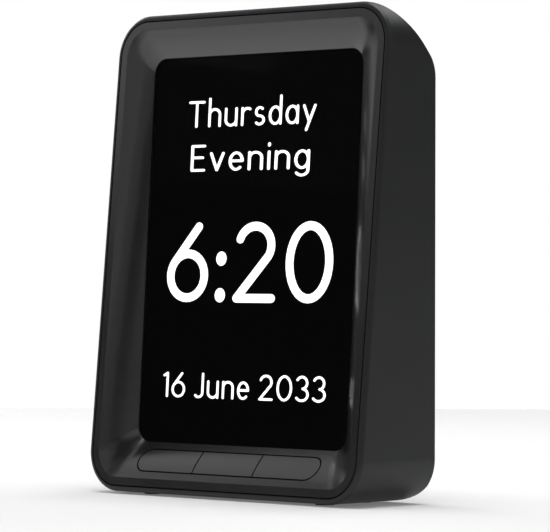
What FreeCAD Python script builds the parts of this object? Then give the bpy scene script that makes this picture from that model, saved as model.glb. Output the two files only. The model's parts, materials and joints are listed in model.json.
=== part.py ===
import FreeCAD, Part
import Sketcher
import math
import os
import re

from FreeCAD import Placement, Rotation, Vector

# A day clock for people who need help with the date: a wrap-around housing with a leaning
# front, a deep frame round a portrait display, three keys in one pill-shaped slot, and the
# display stack, circuit boards, loudspeaker and fasteners inside.
#
# Millimetres and degrees. X runs to the right as seen from the front, Y runs from the front to
# the back, Z runs up. The origin is the centre of the footprint, on the table.

# ---------------------------------------------------------------- driving sizes

SIZES = (
    # front frame
    ("opening_width", 122.0, "width of the display opening"),
    ("opening_height", 164.6, "height of the display opening, along the display"),
    ("opening_radius", 6.8, "corner radius of the display opening"),
    ("side_slope", 12.05, "width of the frame's slope at each side"),
    ("top_slope", 12.3, "height of the frame's slope above the opening"),
    ("bottom_slope", 14.75, "height of the frame's slope below the opening"),
    ("slope_crown", 1.2, "how far the slope stands out from a straight line"),
    ("rim_width", 3.6, "width of the flat band outside the slope"),
    ("recess_depth", 11.1, "depth of the opening's lower edge behind the rim"),
    ("parting_gap", 0.25, "gap between the frame and the housing"),
    ("front_lean", 5.56, "lean of the rim, in degrees from upright"),
    ("display_lean", 3.52, "lean of the display, in degrees from upright"),
    ("bezel_skin", 2.0, "thickness of the frame's skin"),
    ("bezel_wall", 1.8, "thickness of the frame's skirt"),
    ("skirt_depth", 7.0, "how far the frame's skirt reaches into the housing"),
    ("skin_overlap", 1.2, "how much wider the slope's back is than its front"),
    ("flange_overlap", 3.0, "how much wider the slope's back is at the flange"),
    ("flange_thickness", 1.0, "thickness of the flange that the window lies on"),
    ("flange_margin", 4.0, "width of that flange round the opening"),
    # housing
    ("body_depth", 46.5, "depth of the housing at its foot"),
    ("corner_radius", 17.5, "corner radius of the housing, seen from the front"),
    ("shell_wall", 2.4, "wall of the housing"),
    ("lip_radius", 1.9, "rounding of the housing's front edge"),
    ("top_flat", 3.7, "level part of the top, behind the front edge"),
    ("bevel_angle", 47.4, "fall of the slope behind the top, from level"),
    ("bevel_top_radius", 3.0, "rounding between the top and that slope"),
    ("bevel_back_radius", 14.4, "rounding between that slope and the back"),
    ("heel_radius", 7.0, "rounding between the back and the bottom"),
    ("cut_over", 5.0, "how far a cutting profile reaches past the body"),
    # feet
    ("foot_height", 1.0, "height of the feet below the housing"),
    ("foot_radius", 4.0, "radius of a foot"),
    ("foot_recess", 0.8, "depth of the recess that holds a foot"),
    ("foot_spacing", 100.0, "distance between left and right feet"),
    ("front_foot_inset", 12.25, "front edge to the centre of a front foot"),
    ("back_foot_inset", 12.25, "back to the centre of a back foot"),
    ("snug_gap", 0.15, "gap round a piece that is glued or pressed in"),
    # display stack
    ("tape_thickness", 0.3, "adhesive frame"),
    ("tape_inset", 1.0, "opening to the inner edge of the adhesive frame"),
    ("lens_thickness", 1.1, "window"),
    ("lens_margin", 3.6, "opening to the window's edge"),
    ("gasket_thickness", 0.8, "foam frame"),
    ("gasket_inset", 1.5, "opening to the inner edge of the foam frame"),
    ("panel_thickness", 1.4, "display glass"),
    ("panel_side_margin", 7.0, "opening to the panel's side"),
    ("panel_end_margin", 4.7, "opening to the panel's upper and lower edge"),
    ("light_thickness", 2.6, "backlight"),
    ("bracket_thickness", 1.0, "sheet of the display bracket"),
    ("bracket_inset", 1.0, "panel edge to the bracket's upper and lower edge"),
    ("bracket_rail", 9.0, "width of the bracket's rails"),
    ("ear_height", 9.0, "height of the bracket's ears"),
    ("ear_low", 40.0, "lower ears above the opening's lower edge"),
    ("ear_high", 106.0, "upper ears above the opening's lower edge"),
    # housing screws and posts
    ("post_inset", 7.4, "side of the housing to the centre of a screw post"),
    ("post_low", 18.5, "lower posts above the housing's bottom"),
    ("post_high", 166.5, "upper posts above the housing's bottom"),
    ("post_radius", 5.2, "screw post"),
    ("post_reach", 12.35, "back wall's inner face to the front of a post"),
    ("post_shelf", 3.0, "material between screw head and post front"),
    ("boss_radius", 3.0, "boss on the frame"),
    ("case_screw_radius", 1.5, "housing screw"),
    ("case_screw_length", 12.0, "housing screw below its head"),
    ("case_head_radius", 2.8, "head of a housing screw"),
    ("case_head_height", 2.0, "head of a housing screw"),
    ("small_screw_radius", 1.2, "screws inside the clock"),
    ("small_screw_length", 6.0, "screws inside the clock, below the head"),
    ("small_head_radius", 2.3, "head of a screw inside the clock"),
    ("small_head_height", 1.5, "head of a screw inside the clock"),
    ("thread_gap", 0.05, "radial gap round a screw in its pilot hole"),
    ("hole_gap", 0.25, "radial gap round a screw in a clearance hole"),
    # keys
    ("pill_length", 105.2, "length of the key slot"),
    ("pill_height", 12.1, "height of the key slot, along the slope"),
    ("pill_centre", 9.3, "crease to the middle of the key slot, along the slope"),
    ("key_pitch", 35.0, "distance between the two gaps that divide the keys"),
    ("key_gap", 0.35, "gap round each key"),
    ("key_depth", 4.2, "slope's chord to the underside of a key"),
    ("key_rim_depth", 2.7, "slope's chord to the ledge that keeps a key in"),
    ("key_rim_width", 1.0, "width of that ledge"),
    ("key_stand", 1.9, "blank above the slope's chord, before the slope is cut"),
    ("key_travel", 0.5, "travel of a key"),
    ("plunger_radius", 1.6, "switch plunger"),
    ("plunger_reach", 1.0, "switch plunger above the switch"),
    ("plunger_gap", 0.08, "radial gap round a plunger"),
    ("plunger_length", 2.0, "switch plunger"),
    ("switch_width", 6.0, "key switch"),
    ("switch_height", 3.5, "key switch"),
    ("key_board_thickness", 1.2, "key board"),
    ("key_board_height", 10.0, "key board, along the slope"),
    ("key_board_length", 122.0, "key board"),
    ("key_board_boss", 57.0, "middle to a key board boss"),
    ("key_boss_radius", 2.4, "key board boss"),
    # main board
    ("standoff_radius", 3.0, "standoff"),
    ("board_thickness", 1.6, "main board"),
    ("board_width", 100.0, "main board"),
    ("board_height", 70.0, "main board"),
    ("board_bottom", 28.5, "main board above the housing's bottom"),
    ("board_hole_inset", 5.0, "board edge to the centre of a standoff"),
    ("chip_width", 14.0, "processor"),
    ("chip_height", 1.2, "processor"),
    ("chip_x", -14.0, "processor"),
    ("chip_z", 44.0, "processor above the board's lower edge"),
    ("memory_width", 9.0, "memory chip"),
    ("memory_length", 13.0, "memory chip"),
    ("memory_height", 1.0, "memory chip"),
    ("memory_inset", 16.0, "board's left edge to the middle of the memory chip"),
    ("coil_width", 8.0, "power inductor"),
    ("coil_height", 4.2, "power inductor"),
    ("coil_x", -12.0, "power inductor"),
    ("coil_z", 16.0, "power inductor above the board's lower edge"),
    ("can_radius", 3.15, "smoothing capacitor"),
    ("can_height", 7.7, "smoothing capacitor"),
    ("can_x", 2.0, "first smoothing capacitor"),
    ("can_z", 16.0, "smoothing capacitors above the board's lower edge"),
    ("can_pitch", 8.5, "distance between smoothing capacitors"),
    # inlet
    ("jack_inset", 20.0, "board's left edge to the middle of the inlet"),
    ("jack_z", 14.0, "inlet above the board's lower edge"),
    ("jack_width", 9.4, "inlet body"),
    ("jack_wall_gap", 0.4, "inlet body to the back wall"),
    ("jack_neck_radius", 4.2, "inlet neck"),
    ("jack_recess", 0.3, "inlet's mouth behind the back face"),
    ("jack_bore_radius", 3.1, "inlet bore"),
    ("jack_floor", 3.5, "end of the inlet's bore to the main board"),
    ("jack_pin_radius", 1.0, "inlet's centre pin"),
    # backup cell
    ("cell_radius", 10.0, "backup cell"),
    ("cell_height", 3.2, "backup cell"),
    ("holder_wall", 1.6, "cell holder"),
    ("holder_floor", 1.0, "cell holder"),
    ("holder_inset", 22.0, "board's right edge to the middle of the cell holder"),
    ("holder_z", 44.0, "cell holder above the board's lower edge"),
    # cables
    ("socket_height", 2.5, "ribbon socket"),
    ("socket_depth", 5.0, "ribbon socket"),
    ("socket_wall", 2.0, "ribbon socket past its ribbon at each side"),
    ("ribbon_thickness", 0.3, "flat cable"),
    ("ribbon_bend", 2.5, "bend radius of the flat cables"),
    ("cable_gap", 0.05, "gap between a cable's end and what it is joined to"),
    ("ribbon_drop", 3.0, "panel's lower edge to the level run of its ribbon"),
    ("display_ribbon_width", 30.0, "display ribbon"),
    ("key_ribbon_width", 8.0, "key ribbon"),
    ("key_ribbon_inset", 18.0, "board's right edge to the middle of the key ribbon"),
    ("wire_radius", 0.6, "loudspeaker wire"),
    ("wire_spacing", 2.4, "distance between the two wires"),
    ("wire_bend", 3.0, "bend radius of the wires"),
    ("wire_straight", 0.3, "share of the wires' drop that is straight at each end"),
    ("plug_width", 6.0, "loudspeaker plug"),
    ("plug_height", 4.0, "loudspeaker plug"),
    # loudspeaker
    ("speaker_radius", 18.0, "loudspeaker"),
    ("speaker_z", 136.5, "loudspeaker above the housing's bottom"),
    ("speaker_rim", 1.4, "loudspeaker's sheet frame"),
    ("basket_height", 3.0, "loudspeaker basket"),
    ("basket_radius", 11.0, "loudspeaker basket at its narrow end"),
    ("magnet_radius", 9.0, "loudspeaker magnet"),
    ("magnet_height", 3.6, "loudspeaker magnet"),
    ("speaker_ear", 22.5, "middle of the loudspeaker to a screw"),
    ("speaker_ear_radius", 3.6, "loudspeaker ear"),
    ("pad_thickness", 3.0, "foam ring between loudspeaker and wall"),
    ("pad_width", 2.5, "foam ring"),
    # openings in the back
    ("grille_slots", 5, "slots in front of the loudspeaker"),
    ("grille_pitch", 4.0, "distance between those slots"),
    ("grille_length", 22.0, "length of those slots"),
    ("slot_width", 2.0, "width of grille slots and vents"),
    ("vent_slots", 11, "vents in a row"),
    ("vent_pitch", 6.0, "distance between vents"),
    ("vent_length", 12.0, "length of a vent"),
    ("vent_z", 15.0, "middle of the vents above the housing's bottom"),
    ("keyhole_spacing", 100.0, "distance between the two keyholes"),
    ("keyhole_z", 143.0, "keyholes above the housing's bottom"),
    ("keyhole_radius", 4.2, "round part of a keyhole"),
    ("keyhole_slot_radius", 2.1, "narrow part of a keyhole"),
    ("keyhole_rise", 8.0, "round part's centre to the top of the narrow part"),
    ("inlet_hole_gap", 0.3, "gap round the inlet's neck"),
)

doc = FreeCAD.newDocument("DayClock")
sheet = doc.addObject("Spreadsheet::Sheet", "Sizes")
for row, (alias, default, meaning) in enumerate(SIZES, start=1):
    sheet.set(f"A{row}", meaning)
    sheet.set(f"B{row}", str(default))
    sheet.setAlias(f"B{row}", alias)
doc.recompute()

ALIASES = re.compile(r"\b(" + "|".join(alias for alias, _, _ in SIZES) + r")\b")


def formula(text):
    """A formula in the sheet's own words, written the way an expression needs it."""
    return ALIASES.sub(r"Sizes.\1", str(text))


def number(text):
    """The present value of such a formula."""
    result = sheet.evalExpression(formula(text))
    return float(getattr(result, "Value", result))


def bind(item, prop, text):
    """Tie one property of an object to a formula."""
    item.setExpression(prop, formula(text))


# ---------------------------------------------------------------- derived places

EDGE = "(shell_wall + parting_gap + rim_width)"
BODY_WIDTH = f"(opening_width + 2 * side_slope + 2 * {EDGE})"
BODY_HEIGHT = (
    "(opening_height * cos(display_lean) + top_slope + bottom_slope"
    f" + 2 * {EDGE} * cos(front_lean))"
)
FRONT = "(-body_depth / 2)"
BACK = "(body_depth / 2)"
BOTTOM = "foot_height"
TOP = f"(foot_height + {BODY_HEIGHT})"
INNER_BACK = f"({BACK} - shell_wall)"

# the crease between the rim band and the slope, at the bottom of the frame
CREASE_Y = f"({FRONT} + {EDGE} * sin(front_lean))"
CREASE_Z = f"({BOTTOM} + {EDGE} * cos(front_lean))"
CREASE_HEIGHT = f"({BODY_HEIGHT} / cos(front_lean) - 2 * {EDGE})"
CREASE_HALF = "(opening_width / 2 + side_slope)"
CREASE_RADIUS = f"(corner_radius - {EDGE})"

# the lower edge of the display opening
OPENING_Z = f"({CREASE_Z} + bottom_slope)"
OPENING_Y = (
    f"({FRONT} + ({OPENING_Z} - {BOTTOM}) * tan(front_lean)"
    " + recess_depth / cos(front_lean))"
)

# the slope below the display, from the crease to the opening
SLOPE_LEAN = f"atan(({OPENING_Y} - {CREASE_Y}) / ({OPENING_Z} - {CREASE_Z}))"

# the slope is shallower at the top, and its crown shrinks with it
TOP_RECESS = "(recess_depth - opening_height * sin(front_lean - display_lean))"
CROWN_LEAN = f"(180 / pi * slope_crown * (1 - {TOP_RECESS} / recess_depth) / opening_height)"

# depths of the display stack, square to the display
TAPE_AT = "flange_thickness"
LENS_AT = f"({TAPE_AT} + tape_thickness)"
GASKET_AT = f"({LENS_AT} + lens_thickness)"
PANEL_AT = f"({GASKET_AT} + gasket_thickness)"
LIGHT_AT = f"({PANEL_AT} + panel_thickness)"
BRACKET_AT = f"({LIGHT_AT} + light_thickness)"
PANEL_HALF = "(opening_width / 2 + panel_side_margin)"

# screw posts and the frame's bosses, which share their centre lines
POST_X = f"({BODY_WIDTH} / 2 - post_inset)"
POST_FRONT = f"({INNER_BACK} - post_reach)"
POST_LEVELS = (f"({BOTTOM} + post_low)", f"({BOTTOM} + post_high)")
EAR_LEVELS = ("ear_low", "ear_high")

# main board: it stands where its tallest parts are as far from the display as from the wall
BOARD_BOTTOM = f"({BOTTOM} + board_bottom)"
BOARD_TOP = f"({BOARD_BOTTOM} + board_height)"
HOLDER_TOP = f"({BOARD_BOTTOM} + holder_z + cell_radius + holder_wall)"
DISPLAY_BACK = (
    f"({OPENING_Y} + ({HOLDER_TOP} - {OPENING_Z}) * tan(display_lean)"
    f" + {BRACKET_AT} / cos(display_lean))"
)
BOARD_STACK = "(holder_floor + cell_height + board_thickness + can_height)"
PART_CLEARANCE = f"(({INNER_BACK} - {DISPLAY_BACK} - {BOARD_STACK}) / 2)"
STANDOFF_HEIGHT = f"(can_height + {PART_CLEARANCE})"
BOARD_BACK = f"({INNER_BACK} - {STANDOFF_HEIGHT})"
BOARD_FRONT = f"({BOARD_BACK} - board_thickness)"
MEMORY_X = "(memory_inset - board_width / 2)"
JACK_X = "(jack_inset - board_width / 2)"
HOLDER_X = "(board_width / 2 - holder_inset)"
KEY_RIBBON_X = "(board_width / 2 - key_ribbon_inset)"
SOCKET_Y = f"({BOARD_FRONT} - socket_height / 2)"
STANDOFF_X = "(board_width / 2 - board_hole_inset)"
STANDOFF_LEVELS = (f"({BOARD_BOTTOM} + board_hole_inset)", f"({BOARD_TOP} - board_hole_inset)")

# middle of the key slot to the centre of its round ends
HALF_RUN = "(pill_length / 2 - pill_height / 2)"

# key switches, square to the slope
SWITCH_AT = "(key_depth + plunger_reach)"
KEY_BOARD_AT = f"({SWITCH_AT} + switch_height)"

# loudspeaker
SPEAKER_Z = f"({BOTTOM} + speaker_z)"
SPEAKER_BACK = f"({INNER_BACK} - pad_thickness)"
SPEAKER_FRONT = f"({SPEAKER_BACK} - speaker_rim)"

FEET = [
    (f"({side} * foot_spacing / 2)", y)
    for y in (f"({FRONT} + front_foot_inset)", f"({BACK} - back_foot_inset)")
    for side in (-1, 1)
]


# ---------------------------------------------------------------- sketch helpers


def new_body(label):
    body = doc.addObject("PartDesign::Body", "Body_" + label)
    body.Label = label
    return body


def sketch_on(body, name, role, offset="0"):
    """A sketch on one of the body's own origin planes, moved along that plane's normal."""
    plane = next(item for item in body.Origin.OriginFeatures if item.Role == role)
    sketch = body.newObject("Sketcher::SketchObject", name)
    sketch.AttachmentSupport = [(plane, "")]
    sketch.MapMode = "FlatFace"
    bind(sketch, "AttachmentOffset.Base.z", offset)
    return sketch


def upright_sketch(body, name, at_y="0"):
    """A sketch in an upright plane that faces the front, at depth at_y."""
    return sketch_on(body, name, "XZ_Plane", f"-({at_y})")


def leaning_sketch(body, name, foot_y, foot_z, lean, depth="0"):
    """A sketch in a plane that leans back from its foot, set back square to itself."""
    sketch = sketch_on(body, name, "XZ_Plane")
    sketch.AttachmentOffset = Placement(Vector(), Rotation(Vector(-1, 0, 0), number(lean)))
    bind(sketch, "AttachmentOffset.Base.y", f"{foot_z} - {depth} * sin({lean})")
    bind(sketch, "AttachmentOffset.Base.z", f"-({foot_y} + {depth} * cos({lean}))")
    bind(sketch, "AttachmentOffset.Rotation.Angle", lean)
    return sketch


def on_display(body, name, depth="0"):
    return leaning_sketch(body, name, OPENING_Y, OPENING_Z, "display_lean", depth)


def on_slope(body, name, depth="0"):
    return leaning_sketch(body, name, CREASE_Y, CREASE_Z, SLOPE_LEAN, depth)


def stand(body, foot_y, foot_z, lean, depth="0"):
    """Place a body whose own XZ plane becomes a leaning plane."""
    body.Placement = Placement(Vector(), Rotation(Vector(-1, 0, 0), number(lean)))
    bind(body, "Placement.Base.y", f"{foot_y} + {depth} * cos({lean})")
    bind(body, "Placement.Base.z", f"{foot_z} - {depth} * sin({lean})")
    bind(body, "Placement.Rotation.Angle", lean)


def stand_on_display(body, depth):
    stand(body, OPENING_Y, OPENING_Z, "display_lean", depth)


def stand_on_slope(body, depth):
    stand(body, CREASE_Y, CREASE_Z, SLOPE_LEAN, depth)


def rule(sketch, kind, *details):
    return sketch.addConstraint(Sketcher.Constraint(kind, *details))


def pin(sketch, kind, item, point, text):
    """Fix one coordinate of a sketch point to a formula."""
    index = rule(sketch, kind, -1, 1, item, point, number(text))
    bind(sketch, f"Constraints[{index}]", text)


def pin_point(sketch, item, point, x, y):
    pin(sketch, "DistanceX", item, point, x)
    pin(sketch, "DistanceY", item, point, y)


def size_arc(sketch, item, radius):
    index = rule(sketch, "Radius", item, number(radius))
    bind(sketch, f"Constraints[{index}]", radius)


def draw_line(sketch, start, end):
    return sketch.addGeometry(Part.LineSegment(Vector(*start, 0), Vector(*end, 0)), False)


def draw_arc(sketch, centre, radius, first, last):
    circle = Part.Circle(Vector(*centre, 0), Vector(0, 0, 1), radius)
    arc = Part.ArcOfCircle(circle, math.radians(first), math.radians(last))
    return sketch.addGeometry(arc, False)


def add_circle(sketch, x, y, radius):
    circle = Part.Circle(Vector(number(x), number(y), 0), Vector(0, 0, 1), number(radius))
    item = sketch.addGeometry(circle, False)
    pin_point(sketch, item, 3, x, y)
    size_arc(sketch, item, radius)


def add_polygon(sketch, corners):
    """Straight lines through corners that are pairs of formulas."""
    places = [(number(x), number(y)) for x, y in corners]
    items = [
        draw_line(sketch, start, end)
        for start, end in zip(places, places[1:] + places[:1])
    ]
    for item, follower, (x, y) in zip(items, items[1:] + items[:1], corners):
        rule(sketch, "Coincident", item, 2, follower, 1)
        pin_point(sketch, item, 1, x, y)


def add_box(sketch, left, right, bottom, top):
    add_polygon(sketch, [(left, bottom), (right, bottom), (right, top), (left, top)])


def add_rounded_box(sketch, left, right, bottom, top, radius):
    """A rectangle with four equal round corners."""
    west, east, south, north = number(left), number(right), number(bottom), number(top)
    turn = number(radius)
    base = draw_line(sketch, (west + turn, south), (east - turn, south))
    corner = draw_arc(sketch, (east - turn, south + turn), turn, 270, 360)
    right_side = draw_line(sketch, (east, south + turn), (east, north - turn))
    corner_ne = draw_arc(sketch, (east - turn, north - turn), turn, 0, 90)
    head = draw_line(sketch, (east - turn, north), (west + turn, north))
    corner_nw = draw_arc(sketch, (west + turn, north - turn), turn, 90, 180)
    left_side = draw_line(sketch, (west, north - turn), (west, south + turn))
    corner_sw = draw_arc(sketch, (west + turn, south + turn), turn, 180, 270)
    chain = [base, corner, right_side, corner_ne, head, corner_nw, left_side, corner_sw]
    for item, follower in zip(chain, chain[1:] + chain[:1]):
        rule(sketch, "Tangent", item, 2, follower, 1)
    for item in (base, head):
        rule(sketch, "Horizontal", item)
    for item in (left_side, right_side):
        rule(sketch, "Vertical", item)
    for item in (corner_ne, corner_nw, corner_sw):
        rule(sketch, "Equal", corner, item)
    size_arc(sketch, corner, radius)
    pin(sketch, "DistanceY", base, 1, bottom)
    pin(sketch, "DistanceY", head, 1, top)
    pin(sketch, "DistanceX", left_side, 1, left)
    pin(sketch, "DistanceX", right_side, 1, right)


def add_stadium(sketch, first, second, radius, upright=False):
    """A slot with round ends whose centres are two pairs of formulas."""
    start = (number(first[0]), number(first[1]))
    end = (number(second[0]), number(second[1]))
    turn = number(radius)
    tilt = 90 if upright else 0
    side = (math.sin(math.radians(tilt)) * turn, -math.cos(math.radians(tilt)) * turn)
    lower = draw_line(
        sketch, (start[0] + side[0], start[1] + side[1]), (end[0] + side[0], end[1] + side[1])
    )
    far_end = draw_arc(sketch, end, turn, tilt - 90, tilt + 90)
    upper = draw_line(
        sketch, (end[0] - side[0], end[1] - side[1]), (start[0] - side[0], start[1] - side[1])
    )
    near_end = draw_arc(sketch, start, turn, tilt + 90, tilt + 270)
    chain = [lower, far_end, upper, near_end]
    for item, follower in zip(chain, chain[1:] + chain[:1]):
        rule(sketch, "Tangent", item, 2, follower, 1)
    size_arc(sketch, far_end, radius)
    pin_point(sketch, near_end, 3, *first)
    pin_point(sketch, far_end, 3, *second)


# ---------------------------------------------------------------- feature helpers

AWAY = ("back", "down")


def set_extent(feature, profile, length, both):
    feature.Profile = profile
    feature.SideType = "Symmetric" if both else "One side"
    bind(feature, "Length", length)


def pad(body, name, profile, length, way="front", both=False):
    """Add material towards the front or the back, or up or down."""
    feature = body.newObject("PartDesign::Pad", name)
    set_extent(feature, profile, length, both)
    feature.Reversed = way in AWAY
    return feature


def pocket(body, name, profile, length, way="back", both=False):
    """Take material away, and make sure that some was there."""
    doc.recompute()
    before = body.Shape.Volume
    feature = body.newObject("PartDesign::Pocket", name)
    set_extent(feature, profile, length, both)
    feature.Reversed = way not in AWAY
    doc.recompute()
    if body.Shape.Volume >= before:
        raise RuntimeError(f"{body.Label}: {name} takes nothing away")
    return feature


def loft(body, name, sections, subtract=False):
    kind = "PartDesign::SubtractiveLoft" if subtract else "PartDesign::AdditiveLoft"
    feature = body.newObject(kind, name)
    feature.Profile = sections[0]
    feature.Sections = sections[1:]
    feature.Ruled = False
    return feature


def repeat(body, feature, sketch, axis, span, count):
    """Copies of a feature along a sketch axis, counted by the sheet."""
    pattern = body.newObject("PartDesign::LinearPattern", feature.Name + "Row")
    pattern.Originals = [feature]
    pattern.Direction = (sketch, [axis])
    bind(pattern, "Length", span)
    bind(pattern, "Occurrences", count)
    body.Tip = pattern
    return pattern


def round_edges(body, name, radius, wanted):
    """Round the edges of the body's present tip that a test picks."""
    doc.recompute()
    base = body.Tip
    names = [
        f"Edge{index}"
        for index, edge in enumerate(base.Shape.Edges, start=1)
        if wanted(edge, base.Shape)
    ]
    feature = body.newObject("PartDesign::Fillet", name)
    feature.Base = (base, names)
    bind(feature, "Radius", radius)
    return feature


def disc_group(sketch, centres, radius):
    """Equal circles in one sketch, so that one feature makes the whole group."""
    for x, y in centres:
        add_circle(sketch, x, y, radius)
    return sketch


def pairs(half_x, levels):
    """Left and right places at each level."""
    return [(f"({side} * {half_x})", level) for level in levels for side in (-1, 1)]


POSTS = pairs(POST_X, POST_LEVELS)
STANDOFFS = pairs(STANDOFF_X, STANDOFF_LEVELS)
EARS = pairs(POST_X, EAR_LEVELS)
SPEAKER_EARS = pairs("speaker_ear", (SPEAKER_Z,))
KEY_BOSSES = pairs("key_board_boss", ("pill_centre",))


# ---------------------------------------------------------------- front surface


def in_front_of_rim(sketch):
    """Outline, seen from the side, of all that lies in front of the rim's plane."""
    low = f"({BOTTOM} - cut_over)"
    high = f"({TOP} + cut_over)"
    rim_low = f"({FRONT} - cut_over * tan(front_lean))"
    rim_high = f"({FRONT} + ({BODY_HEIGHT} + cut_over) * tan(front_lean))"
    ahead = f"({FRONT} - 2 * cut_over)"
    add_polygon(sketch, [(rim_low, low), (rim_high, high), (ahead, high), (ahead, low)])


def slope_sections(body, prefix, grow="0", grow_end="0", deepen="0", deepen_end="0"):
    """Three rounded outlines from the crease to the opening, whose loft is the frame's slope.

    The middle one stands out by the crown, so the slope is convex, and it leans back a little
    more, because the crown is smaller at the top. Grow widens the outlines and deepen sets
    them back, for the slope's hidden side.
    """
    crease = leaning_sketch(body, prefix + "Crease", CREASE_Y, CREASE_Z, "front_lean", deepen)
    add_rounded_box(
        crease,
        f"-({CREASE_HALF} + {grow})",
        f"({CREASE_HALF} + {grow})",
        f"-({grow})",
        f"({CREASE_HEIGHT} + {grow})",
        f"({CREASE_RADIUS} + {grow})",
    )
    middle_lean = f"((front_lean + display_lean) / 2 + {CROWN_LEAN})"
    middle = leaning_sketch(
        body,
        prefix + "Middle",
        f"(({CREASE_Y} + {OPENING_Y}) / 2 - slope_crown)",
        f"(({CREASE_Z} + {OPENING_Z}) / 2)",
        middle_lean,
        deepen,
    )
    half = f"(opening_width / 2 + side_slope / 2 + {grow})"
    add_rounded_box(
        middle,
        f"-{half}",
        half,
        f"-({grow})",
        f"(({CREASE_HEIGHT} + opening_height) / 2 + {grow})",
        f"(({CREASE_RADIUS} + opening_radius) / 2 + {grow})",
    )
    opening = on_display(body, prefix + "Opening", deepen_end)
    add_rounded_box(
        opening,
        f"-(opening_width / 2 + {grow_end})",
        f"(opening_width / 2 + {grow_end})",
        f"-({grow_end})",
        f"(opening_height + {grow_end})",
        f"(opening_radius + {grow_end})",
    )
    return [crease, middle, opening]


# ---------------------------------------------------------------- housing


def back_trim(sketch, inset="0"):
    """Outline, seen from the side, of what the slope behind the top takes off."""
    fall = number("bevel_angle")
    back, top = f"({BACK} - {inset})", f"({TOP} - {inset})"
    corner_y = (
        f"({FRONT} + {BODY_HEIGHT} * tan(front_lean) + top_flat"
        f" - {inset} * tan(bevel_angle / 2))"
    )
    corner_z = f"({top} - ({back} - {corner_y}) * tan(bevel_angle))"
    back_radius = f"(bevel_back_radius - {inset})"
    upper_y = f"({corner_y} - bevel_top_radius * tan(bevel_angle / 2))"
    upper_z = f"({top} - bevel_top_radius)"
    lower_y = f"({BACK} - bevel_back_radius)"
    lower_z = f"({corner_z} - {back_radius} * tan((90 - bevel_angle) / 2))"
    behind = f"({BACK} + cut_over)"
    above = f"({TOP} + cut_over)"

    upper = (number(upper_y), number(upper_z))
    lower = (number(lower_y), number(lower_z))
    small, large = number("bevel_top_radius"), number(back_radius)
    out = (math.sin(math.radians(fall)), math.cos(math.radians(fall)))
    upper_arc = draw_arc(sketch, upper, small, 90 - fall, 90)
    bevel = draw_line(
        sketch,
        (upper[0] + small * out[0], upper[1] + small * out[1]),
        (lower[0] + large * out[0], lower[1] + large * out[1]),
    )
    lower_arc = draw_arc(sketch, lower, large, 0, 90 - fall)
    rule(sketch, "Tangent", upper_arc, 1, bevel, 1)
    rule(sketch, "Tangent", bevel, 2, lower_arc, 2)
    size_arc(sketch, upper_arc, "bevel_top_radius")
    size_arc(sketch, lower_arc, back_radius)
    pin_point(sketch, upper_arc, 3, upper_y, upper_z)
    pin_point(sketch, lower_arc, 3, lower_y, lower_z)
    pin(sketch, "DistanceX", upper_arc, 2, upper_y)
    pin(sketch, "DistanceY", lower_arc, 1, lower_z)

    far = (number(behind), number(above))
    level = draw_line(sketch, (number(back), lower[1]), (far[0], lower[1]))
    rise = draw_line(sketch, (far[0], lower[1]), far)
    over = draw_line(sketch, far, (upper[0], far[1]))
    fall_line = draw_line(sketch, (upper[0], far[1]), (upper[0], number(top)))
    rule(sketch, "Coincident", lower_arc, 1, level, 1)
    rule(sketch, "Coincident", level, 2, rise, 1)
    rule(sketch, "Coincident", rise, 2, over, 1)
    rule(sketch, "Coincident", over, 2, fall_line, 1)
    rule(sketch, "Coincident", fall_line, 2, upper_arc, 2)
    rule(sketch, "Horizontal", level)
    rule(sketch, "Vertical", rise)
    rule(sketch, "Horizontal", over)
    rule(sketch, "Vertical", fall_line)
    pin_point(sketch, rise, 2, behind, above)


def heel_trim(sketch, inset="0"):
    """Outline, seen from the side, of what the rounded heel takes off."""
    radius = f"(heel_radius - {inset})"
    centre_y = f"({BACK} - heel_radius)"
    centre_z = f"({BOTTOM} + heel_radius)"
    behind = f"({BACK} + cut_over)"
    below = f"({BOTTOM} - cut_over)"
    centre = (number(centre_y), number(centre_z))
    far = (number(behind), number(below))
    heel = draw_arc(sketch, centre, number(radius), 270, 360)
    level = draw_line(sketch, (centre[0] + number(radius), centre[1]), (far[0], centre[1]))
    drop = draw_line(sketch, (far[0], centre[1]), far)
    under = draw_line(sketch, far, (centre[0], far[1]))
    rise = draw_line(sketch, (centre[0], far[1]), (centre[0], centre[1] - number(radius)))
    chain = ((heel, level), (level, drop), (drop, under), (under, rise), (rise, heel))
    for item, follower in chain:
        rule(sketch, "Coincident", item, 2, follower, 1)
    rule(sketch, "Horizontal", level)
    rule(sketch, "Vertical", drop)
    rule(sketch, "Horizontal", under)
    rule(sketch, "Vertical", rise)
    size_arc(sketch, heel, radius)
    pin_point(sketch, heel, 3, centre_y, centre_z)
    pin(sketch, "DistanceX", heel, 1, centre_y)
    pin(sketch, "DistanceY", heel, 2, centre_z)
    pin_point(sketch, drop, 2, behind, below)


def make_cavity():
    """The room inside the housing: the same block one wall smaller, open towards the front."""
    cavity = new_body("cavity")
    across = f"({BODY_WIDTH} + 2 * cut_over)"
    half_width = f"({BODY_WIDTH} / 2 - shell_wall)"
    outline = upright_sketch(cavity, "CavityOutline", INNER_BACK)
    add_rounded_box(
        outline,
        f"-{half_width}",
        half_width,
        f"({BOTTOM} + shell_wall)",
        f"({TOP} - shell_wall)",
        "(corner_radius - shell_wall)",
    )
    pad(cavity, "CavityBlock", outline, "(body_depth + cut_over)", way="front")
    for name, draw in (("CavityBack", back_trim), ("CavityHeel", heel_trim)):
        profile = sketch_on(cavity, name, "YZ_Plane")
        draw(profile, "shell_wall")
        pocket(cavity, name + "Cut", profile, across, both=True)
    return cavity


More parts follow.
